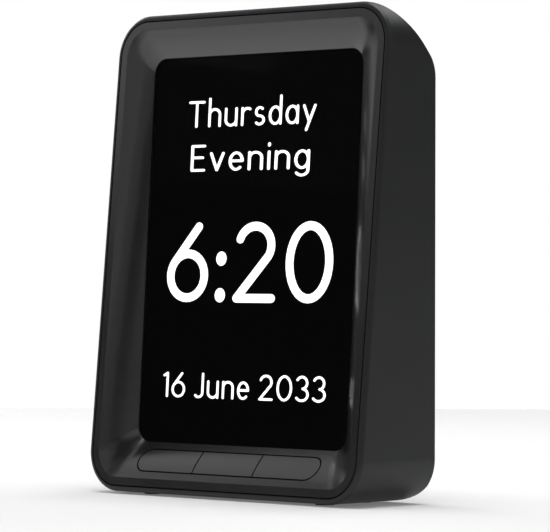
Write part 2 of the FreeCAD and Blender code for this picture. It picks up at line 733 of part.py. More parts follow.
def make_housing():
    """The moulded tub: a block trimmed from the side, hollowed from the front, then fitted out."""
    shell = new_body("housing_shell")
    across = f"({BODY_WIDTH} + 2 * cut_over)"
    half_width = f"({BODY_WIDTH} / 2)"

    outline = upright_sketch(shell, "ShellOutline")
    add_rounded_box(outline, f"-{half_width}", half_width, BOTTOM, TOP, "corner_radius")
    pad(shell, "ShellBlock", outline, "body_depth", both=True)
    trims = (("LeanTrim", in_front_of_rim), ("BackTrim", back_trim), ("HeelTrim", heel_trim))
    for name, draw in trims:
        profile = sketch_on(shell, name, "YZ_Plane")
        draw(profile)
        pocket(shell, name + "Cut", profile, across, both=True)

    hollow = shell.newObject("PartDesign::Boolean", "Hollow")
    hollow.Type = "Cut"
    hollow.addObject(make_cavity())

    def on_front_outline(edge, block):
        front = min(block.Faces, key=lambda face: face.BoundBox.YMin + face.BoundBox.YMax)
        return any(edge.isSame(item) for item in front.OuterWire.Edges)

    round_edges(shell, "LipRounding", "lip_radius", on_front_outline)

    # screw posts, standoffs and loudspeaker bosses grow from the back wall
    columns = (
        ("Posts", POST_FRONT, POSTS, "post_radius", "post_reach"),
        ("Standoffs", BOARD_BACK, STANDOFFS, "standoff_radius", STANDOFF_HEIGHT),
        ("SpeakerBosses", SPEAKER_BACK, SPEAKER_EARS, "speaker_ear_radius", "pad_thickness"),
    )
    for name, at_y, centres, radius, length in columns:
        sketch = disc_group(upright_sketch(shell, name, at_y), centres, radius)
        pad(shell, name + "Pad", sketch, f"({length} + shell_wall / 2)", way="back")

    # holes that start at the outside of the back wall
    post_length = f"({BACK} - {POST_FRONT})"
    keyhole_level = f"({BOTTOM} + keyhole_z)"
    keyholes = pairs("(keyhole_spacing / 2)", (keyhole_level,))
    through_wall = "(2 * shell_wall)"
    outside = (
        ("ScrewWells", POSTS, "(case_head_radius + hole_gap)", f"({post_length} - post_shelf)"),
        ("ScrewHoles", POSTS, "(case_screw_radius + hole_gap)", f"({post_length} + cut_over)"),
        ("Keyholes", keyholes, "keyhole_radius", through_wall),
        (
            "InletHole",
            [(JACK_X, f"({BOARD_BOTTOM} + jack_z)")],
            "(jack_neck_radius + inlet_hole_gap)",
            through_wall,
        ),
    )
    for name, centres, radius, depth in outside:
        sketch = disc_group(upright_sketch(shell, name, BACK), centres, radius)
        pocket(shell, name + "Cut", sketch, depth, way="front")

    slots = upright_sketch(shell, "KeyholeSlots", BACK)
    for x, level in keyholes:
        top = f"({level} + keyhole_rise - keyhole_slot_radius)"
        add_stadium(slots, (x, level), (x, top), "keyhole_slot_radius", upright=True)
    pocket(shell, "KeyholeSlotsCut", slots, through_wall, way="front")

    # blind pilot holes in the standoffs and in the loudspeaker bosses
    pilots = (
        ("StandoffPilots", BOARD_BACK, STANDOFFS),
        ("SpeakerPilots", SPEAKER_BACK, SPEAKER_EARS),
    )
    pilot_depth = "(small_screw_length - speaker_rim)"
    for name, at_y, centres in pilots:
        sketch = upright_sketch(shell, name, at_y)
        disc_group(sketch, centres, "(small_screw_radius + thread_gap)")
        pocket(shell, name + "Cut", sketch, pilot_depth, way="back")

    # grille slots in front of the loudspeaker, stacked upwards
    half_slot = "(grille_length / 2 - slot_width / 2)"
    lowest = f"({SPEAKER_Z} - grille_pitch * (grille_slots - 1) / 2)"
    grille = upright_sketch(shell, "Grille", BACK)
    add_stadium(grille, (f"-{half_slot}", lowest), (half_slot, lowest), "(slot_width / 2)")
    slot = pocket(shell, "GrilleCut", grille, through_wall, way="front")
    repeat(shell, slot, grille, "V_Axis", "(grille_pitch * (grille_slots - 1))", "grille_slots")

    # vents low in the back wall, side by side
    first_vent = "(-vent_pitch * (vent_slots - 1) / 2)"
    vent_low = f"({BOTTOM} + vent_z - vent_length / 2 + slot_width / 2)"
    vent_high = f"({BOTTOM} + vent_z + vent_length / 2 - slot_width / 2)"
    vents = upright_sketch(shell, "Vents", BACK)
    ends = ((first_vent, vent_low), (first_vent, vent_high))
    add_stadium(vents, *ends, "(slot_width / 2)", upright=True)
    vent = pocket(shell, "VentsCut", vents, through_wall, way="front")
    repeat(shell, vent, vents, "H_Axis", "(vent_pitch * (vent_slots - 1))", "vent_slots")

    # shallow recesses for the feet
    seats = sketch_on(shell, "FootSeats", "XY_Plane", BOTTOM)
    disc_group(seats, FEET, "(foot_radius + snug_gap)")
    pocket(shell, "FootSeatsCut", seats, "foot_recess", way="up")
    return shell


def make_feet():
    feet = new_body("rubber_feet")
    sketch = sketch_on(feet, "FootDiscs", "XY_Plane")
    disc_group(sketch, FEET, "foot_radius")
    pad(feet, "FootPads", sketch, "(foot_height + foot_recess)", way="up")
    return feet


# ---------------------------------------------------------------- front frame


def make_bezel():
    """The front frame: rim band, skirt, convex slope, display flange, bosses and key slot."""
    bezel = new_body("front_bezel")
    across = f"({BODY_WIDTH} + 2 * cut_over)"
    inset = "(shell_wall + parting_gap)"
    outer_half = f"({BODY_WIDTH} / 2 - {inset})"
    inner_half = f"({outer_half} - bezel_wall)"

    skirt = upright_sketch(bezel, "SkirtOutline")
    add_rounded_box(
        skirt,
        f"-{outer_half}",
        outer_half,
        f"({BOTTOM} + {inset})",
        f"({TOP} - {inset})",
        f"(corner_radius - {inset})",
    )
    add_rounded_box(
        skirt,
        f"-{inner_half}",
        inner_half,
        f"({BOTTOM} + {inset} + bezel_wall)",
        f"({TOP} - {inset} - bezel_wall)",
        f"(corner_radius - {inset} - bezel_wall)",
    )
    pad(bezel, "Skirt", skirt, "body_depth", both=True)

    # all that lies deeper than the skirt reaches goes
    behind = sketch_on(bezel, "SkirtEnd", "YZ_Plane")
    low, high = f"({BOTTOM} - cut_over)", f"({TOP} + cut_over)"
    end_low = f"({FRONT} + skirt_depth / cos(front_lean) - cut_over * tan(front_lean))"
    end_high = (
        f"({FRONT} + skirt_depth / cos(front_lean) + ({BODY_HEIGHT} + cut_over) * tan(front_lean))"
    )
    far = f"({BACK} + 2 * cut_over)"
    add_polygon(behind, [(end_low, low), (far, low), (far, high), (end_high, high)])
    pocket(bezel, "SkirtEndCut", behind, across, both=True)
    upper = sketch_on(bezel, "SkirtTop", "YZ_Plane")
    back_trim(upper, inset)
    pocket(bezel, "SkirtTopCut", upper, across, both=True)

    # the rim band's plate, which overlaps half of the skirt's wall
    overlap = f"({inset} + bezel_wall / 2)"
    plate = leaning_sketch(bezel, "RimPlate", FRONT, BOTTOM, "front_lean")
    plate_half = f"({BODY_WIDTH} / 2 - {overlap})"
    add_rounded_box(
        plate,
        f"-{plate_half}",
        plate_half,
        overlap,
        f"({BODY_HEIGHT} / cos(front_lean) - {overlap})",
        f"(corner_radius - {overlap})",
    )
    pad(bezel, "RimPlatePad", plate, "bezel_skin", way="back")

    hidden = slope_sections(
        bezel, "Hidden", "skin_overlap", "flange_overlap", "bezel_skin", "flange_thickness"
    )
    loft(bezel, "SlopeSkin", hidden)

    flange = on_display(bezel, "Flange")
    flange_half = "(opening_width / 2 + flange_margin)"
    add_rounded_box(
        flange,
        f"-{flange_half}",
        flange_half,
        "-flange_margin",
        "(opening_height + flange_margin)",
        "(opening_radius + flange_margin)",
    )
    pad(bezel, "FlangePad", flange, "flange_thickness", way="back")

    # bosses start in front of the rim, and the front cuts below end them in the skin
    housing_bosses = upright_sketch(bezel, "HousingBosses", POST_FRONT)
    disc_group(housing_bosses, POSTS, "boss_radius")
    pad(bezel, "HousingBossPad", housing_bosses, f"({POST_FRONT} - {FRONT})", way="front")
    ear_bosses = on_display(bezel, "EarBosses", BRACKET_AT)
    disc_group(ear_bosses, EARS, "boss_radius")
    pad(bezel, "EarBossPad", ear_bosses, f"({BRACKET_AT} + recess_depth)", way="front")
    key_bosses = on_slope(bezel, "KeyBosses", KEY_BOARD_AT)
    disc_group(key_bosses, KEY_BOSSES, "key_boss_radius")
    pad(bezel, "KeyBossPad", key_bosses, KEY_BOARD_AT, way="front")

    ahead = sketch_on(bezel, "RimTrim", "YZ_Plane")
    in_front_of_rim(ahead)
    pocket(bezel, "RimTrimCut", ahead, across, both=True)
    loft(bezel, "Slope", slope_sections(bezel, "Front"), subtract=True)
    window = on_display(bezel, "Window")
    add_rounded_box(
        window,
        "-opening_width / 2",
        "opening_width / 2",
        "0",
        "opening_height",
        "opening_radius",
    )
    pocket(bezel, "WindowCut", window, "(flange_thickness + cut_over)", way="back")

    slot = on_slope(bezel, "KeySlot")
    add_stadium(
        slot, (f"-{HALF_RUN}", "pill_centre"), (HALF_RUN, "pill_centre"), "(pill_height / 2)"
    )
    pocket(bezel, "KeySlotCut", slot, "(2 * cut_over)", both=True)

    case_pilots = upright_sketch(bezel, "HousingPilots", POST_FRONT)
    ear_pilots = on_display(bezel, "EarPilots", BRACKET_AT)
    key_pilots = on_slope(bezel, "KeyPilots", KEY_BOARD_AT)
    pilots = (
        (case_pilots, POSTS, "case_screw_radius", "(case_screw_length - post_shelf)"),
        (ear_pilots, EARS, "small_screw_radius", "small_screw_length"),
        (key_pilots, KEY_BOSSES, "small_screw_radius", "small_screw_length - key_board_thickness"),
    )
    for sketch, centres, radius, depth in pilots:
        disc_group(sketch, centres, f"({radius} + thread_gap)")
        pocket(bezel, sketch.Name + "Cut", sketch, f"({depth} + thread_gap)", way="front")
    return bezel


# ---------------------------------------------------------------- keys


def key_outline(sketch, left, right, half_height, end_left, end_right):
    """A slice of the pill. An end that is also the pill's end is half round."""
    low, high = f"(pill_centre - {half_height})", f"(pill_centre + {half_height})"
    west, east = number(left), number(right)
    south, north = number(low), number(high)
    middle, turn = number("pill_centre"), number(half_height)
    base = draw_line(sketch, (west, south), (east, south))
    if end_right:
        east_end = draw_arc(sketch, (east, middle), turn, 270, 450)
    else:
        east_end = draw_line(sketch, (east, south), (east, north))
    head = draw_line(sketch, (east, north), (west, north))
    if end_left:
        west_end = draw_arc(sketch, (west, middle), turn, 90, 270)
    else:
        west_end = draw_line(sketch, (west, north), (west, south))
    chain = [base, east_end, head, west_end]
    ends = {east_end: end_right, west_end: end_left}
    for item, follower in zip(chain, chain[1:] + chain[:1]):
        smooth = ends.get(item) or ends.get(follower)
        rule(sketch, "Tangent" if smooth else "Coincident", item, 2, follower, 1)
    pin_point(sketch, base, 1, left, low)
    pin_point(sketch, base, 2, right, low)
    if end_right:
        size_arc(sketch, east_end, half_height)
    else:
        pin_point(sketch, head, 1, right, high)
    if end_left:
        size_arc(sketch, west_end, half_height)
    else:
        pin_point(sketch, head, 2, left, high)


def make_key(label, place):
    """One key: its face is cut by the same slope as the frame, a ledge keeps it in the slot."""
    key = new_body(label)
    end_left, end_right = place < 0, place > 0
    divider = "(key_pitch / 2 - key_gap / 2)"
    far_divider = "(key_pitch / 2 + key_gap / 2)"
    left = f"-{HALF_RUN}" if end_left else (f"-{divider}" if place == 0 else far_divider)
    right = HALF_RUN if end_right else (divider if place == 0 else f"-{far_divider}")
    face_half = "(pill_height / 2 - key_gap)"

    cap = on_slope(key, label + "_Cap", "key_depth")
    key_outline(cap, left, right, face_half, end_left, end_right)
    pad(key, label + "_CapPad", cap, "(key_depth + key_stand)", way="front")
    ledge = on_slope(key, label + "_Ledge", "key_depth")
    ledge_half = f"({face_half} + key_rim_width)"
    key_outline(ledge, left, right, ledge_half, end_left, end_right)
    pad(key, label + "_LedgePad", ledge, "(key_depth - key_rim_depth)", way="front")
    loft(key, label + "_Face", slope_sections(key, label), subtract=True)
    return key


def switch_x(place):
    """Middle of a key, along the slot."""
    return f"({place} * (key_pitch / 2 + pill_length / 2) / 2)"


def make_plunger(label, place):
    plunger = new_body(label)
    sketch = upright_sketch(plunger, label + "_Disc")
    add_circle(sketch, switch_x(place), "pill_centre", "plunger_radius")
    pad(plunger, label + "_Pad", sketch, "plunger_length", way="back")
    stand_on_slope(plunger, "key_depth")
    return plunger


def make_switches():
    switches = new_body("key_switches")
    bodies = upright_sketch(switches, "SwitchBodies")
    wells = upright_sketch(switches, "SwitchWells")
    half = "switch_width / 2"
    low, high = f"pill_centre - {half}", f"pill_centre + {half}"
    for place in (-1, 0, 1):
        x = switch_x(place)
        add_box(bodies, f"{x} - {half}", f"{x} + {half}", low, high)
        add_circle(wells, x, "pill_centre", "(plunger_radius + plunger_gap)")
    pad(switches, "SwitchPad", bodies, "switch_height", way="back")
    well_depth = "(plunger_length - plunger_reach + 2 * key_travel)"
    pocket(switches, "SwitchWellCut", wells, well_depth, way="back")
    stand_on_slope(switches, SWITCH_AT)
    return switches


def make_key_board():
    board = new_body("key_board")
    sketch = upright_sketch(board, "KeyBoardOutline")
    half = "(key_board_height / 2)"
    add_box(
        sketch,
        "-key_board_length / 2",
        "key_board_length / 2",
        f"(pill_centre - {half})",
        f"(pill_centre + {half})",
    )
    disc_group(sketch, KEY_BOSSES, "(small_screw_radius + hole_gap)")
    pad(board, "KeyBoardPad", sketch, "key_board_thickness", way="back")
    stand_on_slope(board, KEY_BOARD_AT)
    return board


# ---------------------------------------------------------------- display stack


def make_frame_piece(label, depth, outer, inner, thickness):
    """A flat frame round the opening, between two margins."""
    piece = new_body(label)
    sketch = upright_sketch(piece, label + "_Outline")
    for margin in (outer, inner):
        half = f"(opening_width / 2 + {margin})"
        high = f"(opening_height + {margin})"
        radius = f"(opening_radius + {margin})"
        add_rounded_box(sketch, f"-{half}", half, f"-{margin}", high, radius)
    pad(piece, label + "_Pad", sketch, thickness, way="back")
    stand_on_display(piece, depth)
    return piece


def make_lens():
    lens = new_body("display_lens")
    half = "(opening_width / 2 + lens_margin)"
    sketch = upright_sketch(lens, "LensOutline")
    add_rounded_box(
        sketch,
        f"-{half}",
        half,
        "-lens_margin",
        "(opening_height + lens_margin)",
        "(opening_radius + lens_margin)",
    )
    pad(lens, "LensPad", sketch, "lens_thickness", way="back")
    stand_on_display(lens, LENS_AT)
    return lens


def make_panel_layer(label, depth, thickness):
    """A rectangular layer of the display, as large as the panel."""
    layer = new_body(label)
    sketch = upright_sketch(layer, label + "_Outline")
    high = "(opening_height + panel_end_margin)"
    add_box(sketch, f"-{PANEL_HALF}", PANEL_HALF, "-panel_end_margin", high)
    pad(layer, label + "_Pad", sketch, thickness, way="back")
    stand_on_display(layer, depth)
    return layer


def make_bracket():
    """Pressed frame with four ears, which clamps the display to the front frame."""
    bracket = new_body("display_bracket")
    low = "(bracket_inset - panel_end_margin)"
    high = "(opening_height + panel_end_margin - bracket_inset)"
    inner_half = f"({PANEL_HALF} - bracket_rail)"
    inner_low, inner_high = f"({low} + bracket_rail)", f"({high} - bracket_rail)"
    rails = upright_sketch(bracket, "BracketRails")
    add_box(rails, f"-{PANEL_HALF}", PANEL_HALF, low, high)
    add_box(rails, f"-{inner_half}", inner_half, inner_low, inner_high)
    pad(bracket, "BracketSheet", rails, "bracket_thickness", way="back")
    ears = upright_sketch(bracket, "BracketEars")
    ear_end = f"({POST_X} + boss_radius)"
    for level in EAR_LEVELS:
        foot, head = f"({level} - ear_height / 2)", f"({level} + ear_height / 2)"
        add_box(ears, f"-{ear_end}", f"-{inner_half}", foot, head)
        add_box(ears, inner_half, ear_end, foot, head)
    pad(bracket, "BracketEarPad", ears, "bracket_thickness", way="back")
    holes = upright_sketch(bracket, "BracketHoles")
    disc_group(holes, EARS, "(small_screw_radius + hole_gap)")
    pocket(bracket, "BracketHolesCut", holes, "bracket_thickness", way="back")
    stand_on_display(bracket, BRACKET_AT)
    return bracket


# ---------------------------------------------------------------- screws


def make_screws(label, centres, head_at, sizes, place=None, from_back=True):
    """A group of equal screws. Heads stand on head_at, shanks run towards their threads."""
    shank_radius, shank_length, head_radius, head_height = sizes
    screws = new_body(label)
    heads_way, shank_way = ("back", "front") if from_back else ("front", "back")
    parts = (
        ("Heads", head_radius, head_height, heads_way),
        ("Shanks", shank_radius, shank_length, shank_way),
    )
    for part, radius, length, way in parts:
        sketch = upright_sketch(screws, f"{label}_{part}", head_at)
        disc_group(sketch, centres, radius)
        pad(screws, f"{label}_{part}Pad", sketch, length, way=way)
    if place:
        place(screws)
    return screws


CASE_SCREW = ("case_screw_radius", "case_screw_length", "case_head_radius", "case_head_height")
SMALL_SCREW = ("small_screw_radius", "small_screw_length", "small_head_radius", "small_head_height")


# ---------------------------------------------------------------- main board


def make_main_board():
    board = new_body("main_board")
    sketch = upright_sketch(board, "MainBoardOutline", BOARD_FRONT)
    add_box(sketch, "-board_width / 2", "board_width / 2", BOARD_BOTTOM, BOARD_TOP)
    disc_group(sketch, STANDOFFS, "(small_screw_radius + hole_gap)")
    pad(board, "MainBoardPad", sketch, "board_thickness", way="back")
    return board


def make_block(label, x, z, width, length, height, side="front"):
    """A rectangular part soldered to one side of the main board."""
    block = new_body(label)
    face = BOARD_FRONT if side == "front" else BOARD_BACK
    sketch = upright_sketch(block, label + "_Outline", face)
    level = f"({BOARD_BOTTOM} + {z})"
    add_box(
        sketch,
        f"({x} - {width} / 2)",
        f"({x} + {width} / 2)",
        f"({level} - {length} / 2)",
        f"({level} + {length} / 2)",
    )
    pad(block, label + "_Pad", sketch, height, way=side)
    return block


def make_capacitors():
    cans = new_body("smoothing_capacitors")
    sketch = upright_sketch(cans, "CanDiscs", BOARD_BACK)
    level = f"({BOARD_BOTTOM} + can_z)"
    for step in range(3):
        add_circle(sketch, f"(can_x + {step} * can_pitch)", level, "can_radius")
    pad(cans, "CanPads", sketch, "can_height", way="back")
    return cans


def make_jack():
    """Barrel inlet: a square body on the board, a round neck through the wall, bore and pin."""
    jack = new_body("dc_jack")
    level = f"({BOARD_BOTTOM} + jack_z)"
    half = "jack_width / 2"
    left, right = f"{JACK_X} - {half}", f"{JACK_X} + {half}"
    block = upright_sketch(jack, "JackBlock", BOARD_BACK)
    add_box(block, left, right, f"{level} - {half}", f"{level} + {half}")
    pad(jack, "JackBlockPad", block, f"({STANDOFF_HEIGHT} - jack_wall_gap)", way="back")
    mouth = f"({BACK} - jack_recess)"
    neck = upright_sketch(jack, "JackNeck", mouth)
    add_circle(neck, JACK_X, level, "jack_neck_radius")
    pad(jack, "JackNeckPad", neck, f"({mouth} - {INNER_BACK} + 2 * jack_wall_gap)", way="front")
    bore = upright_sketch(jack, "JackBore", mouth)
    add_circle(bore, JACK_X, level, "jack_bore_radius")
    add_circle(bore, JACK_X, level, "jack_pin_radius")
    pocket(jack, "JackBoreCut", bore, f"({mouth} - {BOARD_BACK} - jack_floor)", way="front")
    return jack


def make_cell_holder():
    holder = new_body("coin_cell_holder")
    level = f"({BOARD_BOTTOM} + holder_z)"
    inner = "(cell_radius + snug_gap)"
    cup = upright_sketch(holder, "HolderCup", BOARD_FRONT)
    add_circle(cup, HOLDER_X, level, f"({inner} + holder_wall)")
    pad(holder, "HolderCupPad", cup, "(holder_floor + cell_height)", way="front")
    well = upright_sketch(holder, "HolderWell", f"({BOARD_FRONT} - holder_floor)")
    add_circle(well, HOLDER_X, level, inner)
    pocket(holder, "HolderWellCut", well, "(cell_height + cut_over)", way="front")
    notch = upright_sketch(holder, "HolderNotch", f"({BOARD_FRONT} - holder_floor)")
    add_box(
        notch,
        f"({HOLDER_X} - cell_radius / 2)",
        f"({HOLDER_X} + cell_radius / 2)",
        level,
        f"({level} + cell_radius + 2 * holder_wall)",
    )
    pocket(holder, "HolderNotchCut", notch, "(cell_height + cut_over)", way="front")
    return holder


def make_cell():
    cell = new_body("coin_cell")
    sketch = upright_sketch(cell, "CellDisc", f"({BOARD_FRONT} - holder_floor)")
    add_circle(sketch, HOLDER_X, f"({BOARD_BOTTOM} + holder_z)", "cell_radius")
    pad(cell, "CellPad", sketch, "cell_height", way="front")
    return cell


# ---------------------------------------------------------------- loudspeaker


def make_speaker():
    """Sheet frame with two ears, a tapering basket and a magnet, facing the back wall."""
    speaker = new_body("loudspeaker")
    rim = upright_sketch(speaker, "SpeakerRim", SPEAKER_FRONT)
    add_circle(rim, "0", SPEAKER_Z, "speaker_radius")
    pad(speaker, "SpeakerRimPad", rim, "speaker_rim", way="back")
    ears = upright_sketch(speaker, "SpeakerEars", SPEAKER_FRONT)
    add_stadium(
        ears, ("-speaker_ear", SPEAKER_Z), ("speaker_ear", SPEAKER_Z), "speaker_ear_radius"
    )
    pad(speaker, "SpeakerEarPad", ears, "speaker_rim", way="back")
    holes = upright_sketch(speaker, "SpeakerHoles", SPEAKER_FRONT)
    disc_group(holes, SPEAKER_EARS, "(small_screw_radius + hole_gap)")
    pocket(speaker, "SpeakerHolesCut", holes, "speaker_rim", way="back")

    wide = upright_sketch(speaker, "BasketWide", SPEAKER_FRONT)
    add_circle(wide, "0", SPEAKER_Z, "(speaker_radius - speaker_rim)")
    narrow = upright_sketch(speaker, "BasketNarrow", f"({SPEAKER_FRONT} - basket_height)")
    add_circle(narrow, "0", SPEAKER_Z, "basket_radius")
    loft(speaker, "Basket", [wide, narrow])
    magnet = upright_sketch(speaker, "Magnet", f"({SPEAKER_FRONT} - basket_height)")
    add_circle(magnet, "0", SPEAKER_Z, "magnet_radius")
    pad(speaker, "MagnetPad", magnet, "magnet_height", way="front")
    return speaker


def make_speaker_pad():
    ring = new_body("speaker_gasket")
    sketch = upright_sketch(ring, "SpeakerPadRing", SPEAKER_BACK)
    add_circle(sketch, "0", SPEAKER_Z, "speaker_radius")
    add_circle(sketch, "0", SPEAKER_Z, "(speaker_radius - pad_width)")
    pad(ring, "SpeakerPadPad", sketch, "pad_thickness", way="back")
    return ring


# ---------------------------------------------------------------- cables


SQUARE_CORNERS = 2  # how a sweep treats a corner of its path


def bent_path(points, radius):
    """Straight runs joined by tangent arcs of one radius, as one wire."""
    corners = [Vector(*point) for point in points]
    edges = []
    start = corners[0]
    for before, corner, after in zip(corners, corners[1:], corners[2:]):
        back = (before - corner).normalize()
        ahead = (after - corner).normalize()
        half_turn = (math.pi - back.getAngle(ahead)) / 2
        cut = radius * math.tan(half_turn)
        first, last = corner + back * cut, corner + ahead * cut
        inward = (back + ahead).normalize()
        middle = corner + inward * (radius / math.cos(half_turn) - radius)
        edges.append(Part.LineSegment(start, first).toShape())
        edges.append(Part.Arc(first, middle, last).toShape())
        start = last
    edges.append(Part.LineSegment(start, corners[-1]).toShape())
    return Part.Wire(edges)


def add_feature(label, shape):
    feature = doc.addObject("Part::Feature", "Cable_" + label)
    feature.Label = label
    feature.Shape = shape
    return feature


def make_ribbon(label, points, width, x):
    """A flat cable whose middle line runs through points seen from the side."""
    left = number(x) - number(width) / 2
    thickness = number("ribbon_thickness")
    route = bent_path([(left, y, z) for y, z in points], number("ribbon_bend"))
    across = Vector(0, points[1][0] - points[0][0], points[1][1] - points[0][1])
    side = across.cross(Vector(1, 0, 0)).normalize() * (thickness / 2)
    start = Vector(left, *points[0])
    edge = Part.makePolygon([start - side, start + side])
    strip = route.makePipeShell([edge], False, False, SQUARE_CORNERS)
    lengths = [face.extrude(Vector(number(width), 0, 0)) for face in strip.Faces]
    return add_feature(label, lengths[0].multiFuse(lengths[1:]).removeSplitter())


def make_ribbon_sockets():
    """Two sockets on the board's lower edge, one for each flat cable."""
    sockets = new_body("ribbon_sockets")
    sketch = upright_sketch(sockets, "SocketOutlines", BOARD_FRONT)
    for x, width in (("0", "display_ribbon_width"), (KEY_RIBBON_X, "key_ribbon_width")):
        half = f"({width} / 2 + socket_wall)"
        top = f"({BOARD_BOTTOM} + socket_depth)"
        add_box(sketch, f"{x} - {half}", f"{x} + {half}", BOARD_BOTTOM, top)
    pad(sockets, "SocketPad", sketch, "socket_height", way="front")
    return sockets


def along(foot_y, foot_z, lean, up, depth):
    """A point given along and square to a leaning plane, seen from the side."""
    y = number(f"{foot_y} + {up} * sin({lean}) + {depth} * cos({lean})")
    z = number(f"{foot_z} + {up} * cos({lean}) - {depth} * sin({lean})")
    return y, z


def make_ribbons():
    """The display's ribbon from the panel's lower edge, and the keys' ribbon from their board."""
    socket = (number(SOCKET_Y), number(f"{BOARD_BOTTOM} - cable_gap"))
    panel_edge = along(
        OPENING_Y,
        OPENING_Z,
        "display_lean",
        "-(panel_end_margin + cable_gap)",
        f"({PANEL_AT} + panel_thickness / 2)",
    )
    level = panel_edge[1] - number("ribbon_drop")
    display = [panel_edge, (panel_edge[0], level), (socket[0], level), socket]
    board_edge = along(
        CREASE_Y,
        CREASE_Z,
        SLOPE_LEAN,
        "(pill_centre + key_board_height / 2 + cable_gap)",
        f"({KEY_BOARD_AT} + key_board_thickness / 2)",
    )
    rise = level - board_edge[1]
    bend_y = board_edge[0] + rise * number(f"tan({SLOPE_LEAN})")
    keys = [board_edge, (bend_y, level), (socket[0], level), socket]
    return [
        make_ribbon("display_ribbon", display, "display_ribbon_width", "0"),
        make_ribbon("key_ribbon", keys, "key_ribbon_width", KEY_RIBBON_X),
    ]


def make_speaker_plug():
    plug = new_body("speaker_plug")
    sketch = upright_sketch(plug, "PlugOutline", BOARD_BACK)
    add_box(
        sketch, "-plug_width / 2", "plug_width / 2", f"({BOARD_TOP} - socket_depth)", BOARD_TOP
    )
    pad(plug, "PlugPad", sketch, "plug_height", way="back")
    return plug


def make_speaker_wires():
    """Two wires from the basket down to the plug on the board's upper edge."""
    basket_y = number(f"{SPEAKER_BACK} - speaker_rim / 2")
    basket_z = number(f"{SPEAKER_Z} - speaker_radius - cable_gap")
    plug_y = number(f"{BOARD_BACK} + plug_height / 2")
    plug_z = number(f"{BOARD_TOP} + cable_gap")
    drop = basket_z - plug_z
    upper_bend = basket_z - drop * number("wire_straight")
    lower_bend = plug_z + drop * number("wire_straight")
    radius = number("wire_radius")
    wires = []
    for side in (-1, 1):
        x = side * number("wire_spacing") / 2
        points = [
            (x, basket_y, basket_z),
            (x, basket_y, upper_bend),
            (x, plug_y, lower_bend),
            (x, plug_y, plug_z),
        ]
        route = bent_path(points, number("wire_bend"))
        section = Part.Wire(Part.makeCircle(radius, Vector(*points[0]), Vector(0, 0, -1)))
        wires.append(route.makePipeShell([section], True, False))
    return add_feature("speaker_wires", Part.makeCompound(wires))


# ---------------------------------------------------------------- assembly

subparts = [make_housing(), make_feet(), make_bezel()]

PLACES = (("left", -1), ("middle", 0), ("right", 1))
subparts += [make_key(f"{side}_key", place) for side, place in PLACES]
subparts += [make_plunger(f"{side}_plunger", place) for side, place in PLACES]
subparts += [make_switches(), make_key_board()]

subparts += [
    make_frame_piece("lens_tape", TAPE_AT, "lens_margin", "tape_inset", "tape_thickness"),
    make_lens(),
    make_frame_piece(
        "display_gasket", GASKET_AT, "lens_margin", "gasket_inset", "gasket_thickness"
    ),
    make_panel_layer("lcd_panel", PANEL_AT, "panel_thickness"),
    make_panel_layer("backlight_unit", LIGHT_AT, "light_thickness"),
    make_bracket(),
]

subparts += [
    make_screws("housing_screws", POSTS, f"({POST_FRONT} + post_shelf)", CASE_SCREW),
    make_screws(
        "bracket_screws",
        EARS,
        "bracket_thickness",
        SMALL_SCREW,
        place=lambda body: stand_on_display(body, BRACKET_AT),
    ),
    make_screws(
        "key_board_screws",
        KEY_BOSSES,
        "key_board_thickness",
        SMALL_SCREW,
        place=lambda body: stand_on_slope(body, KEY_BOARD_AT),
    ),
    make_screws("board_screws", STANDOFFS, BOARD_FRONT, SMALL_SCREW, from_back=False),
    make_screws("speaker_screws", SPEAKER_EARS, SPEAKER_FRONT, SMALL_SCREW, from_back=False),
]

subparts += [
    make_main_board(),
    make_block("processor_chip", "chip_x", "chip_z", "chip_width", "chip_width", "chip_height"),
    make_block("memory_chip", MEMORY_X, "chip_z", "memory_width", "memory_length", "memory_height"),
    make_block(
        "power_inductor", "coil_x", "coil_z", "coil_width", "coil_width", "coil_height", "back"
    ),
    make_capacitors(),
    make_jack(),
    make_cell_holder(),
    make_cell(),
    make_ribbon_sockets(),
    make_speaker(),
    make_speaker_pad(),
    make_speaker_plug(),
    make_speaker_wires(),
]
subparts += make_ribbons()

doc.recompute()

# ---------------------------------------------------------------- checks and export

for item in doc.Objects:
    if "Invalid" in item.State or "Error" in item.State:
        raise RuntimeError(f"{item.Label} did not build: {item.State}")
for part in subparts:
    if part.Shape.isNull() or not part.Shape.isValid() or not part.Shape.Solids:
        raise RuntimeError(f"{part.Label} has no valid solid")

os.makedirs("parts", exist_ok=True)
for part in subparts:
    part.Shape.exportStep(os.path.join("parts", part.Label + ".step"))
    box = part.Shape.BoundBox
    print(
        f"{part.Label:22s} solids {len(part.Shape.Solids)}  volume {part.Shape.Volume:9.1f}"
        f"  x {box.XMin:7.2f} {box.XMax:7.2f}  y {box.YMin:7.2f} {box.YMax:7.2f}"
        f"  z {box.ZMin:7.2f} {box.ZMax:7.2f}"
    )
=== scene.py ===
"""Dresses the day clock: a finish for every node, painted-shade beads in the seams round the
front frame and the keys, lettering on the display, the housing screws, the loudspeaker, and
the studio that the clock stands in. All lengths are in metres, in the part's own frame.
"""

import json
import math

import bmesh
import bpy
from bpy.props import FloatProperty, FloatVectorProperty, PointerProperty, StringProperty
from mathutils import Matrix, Vector


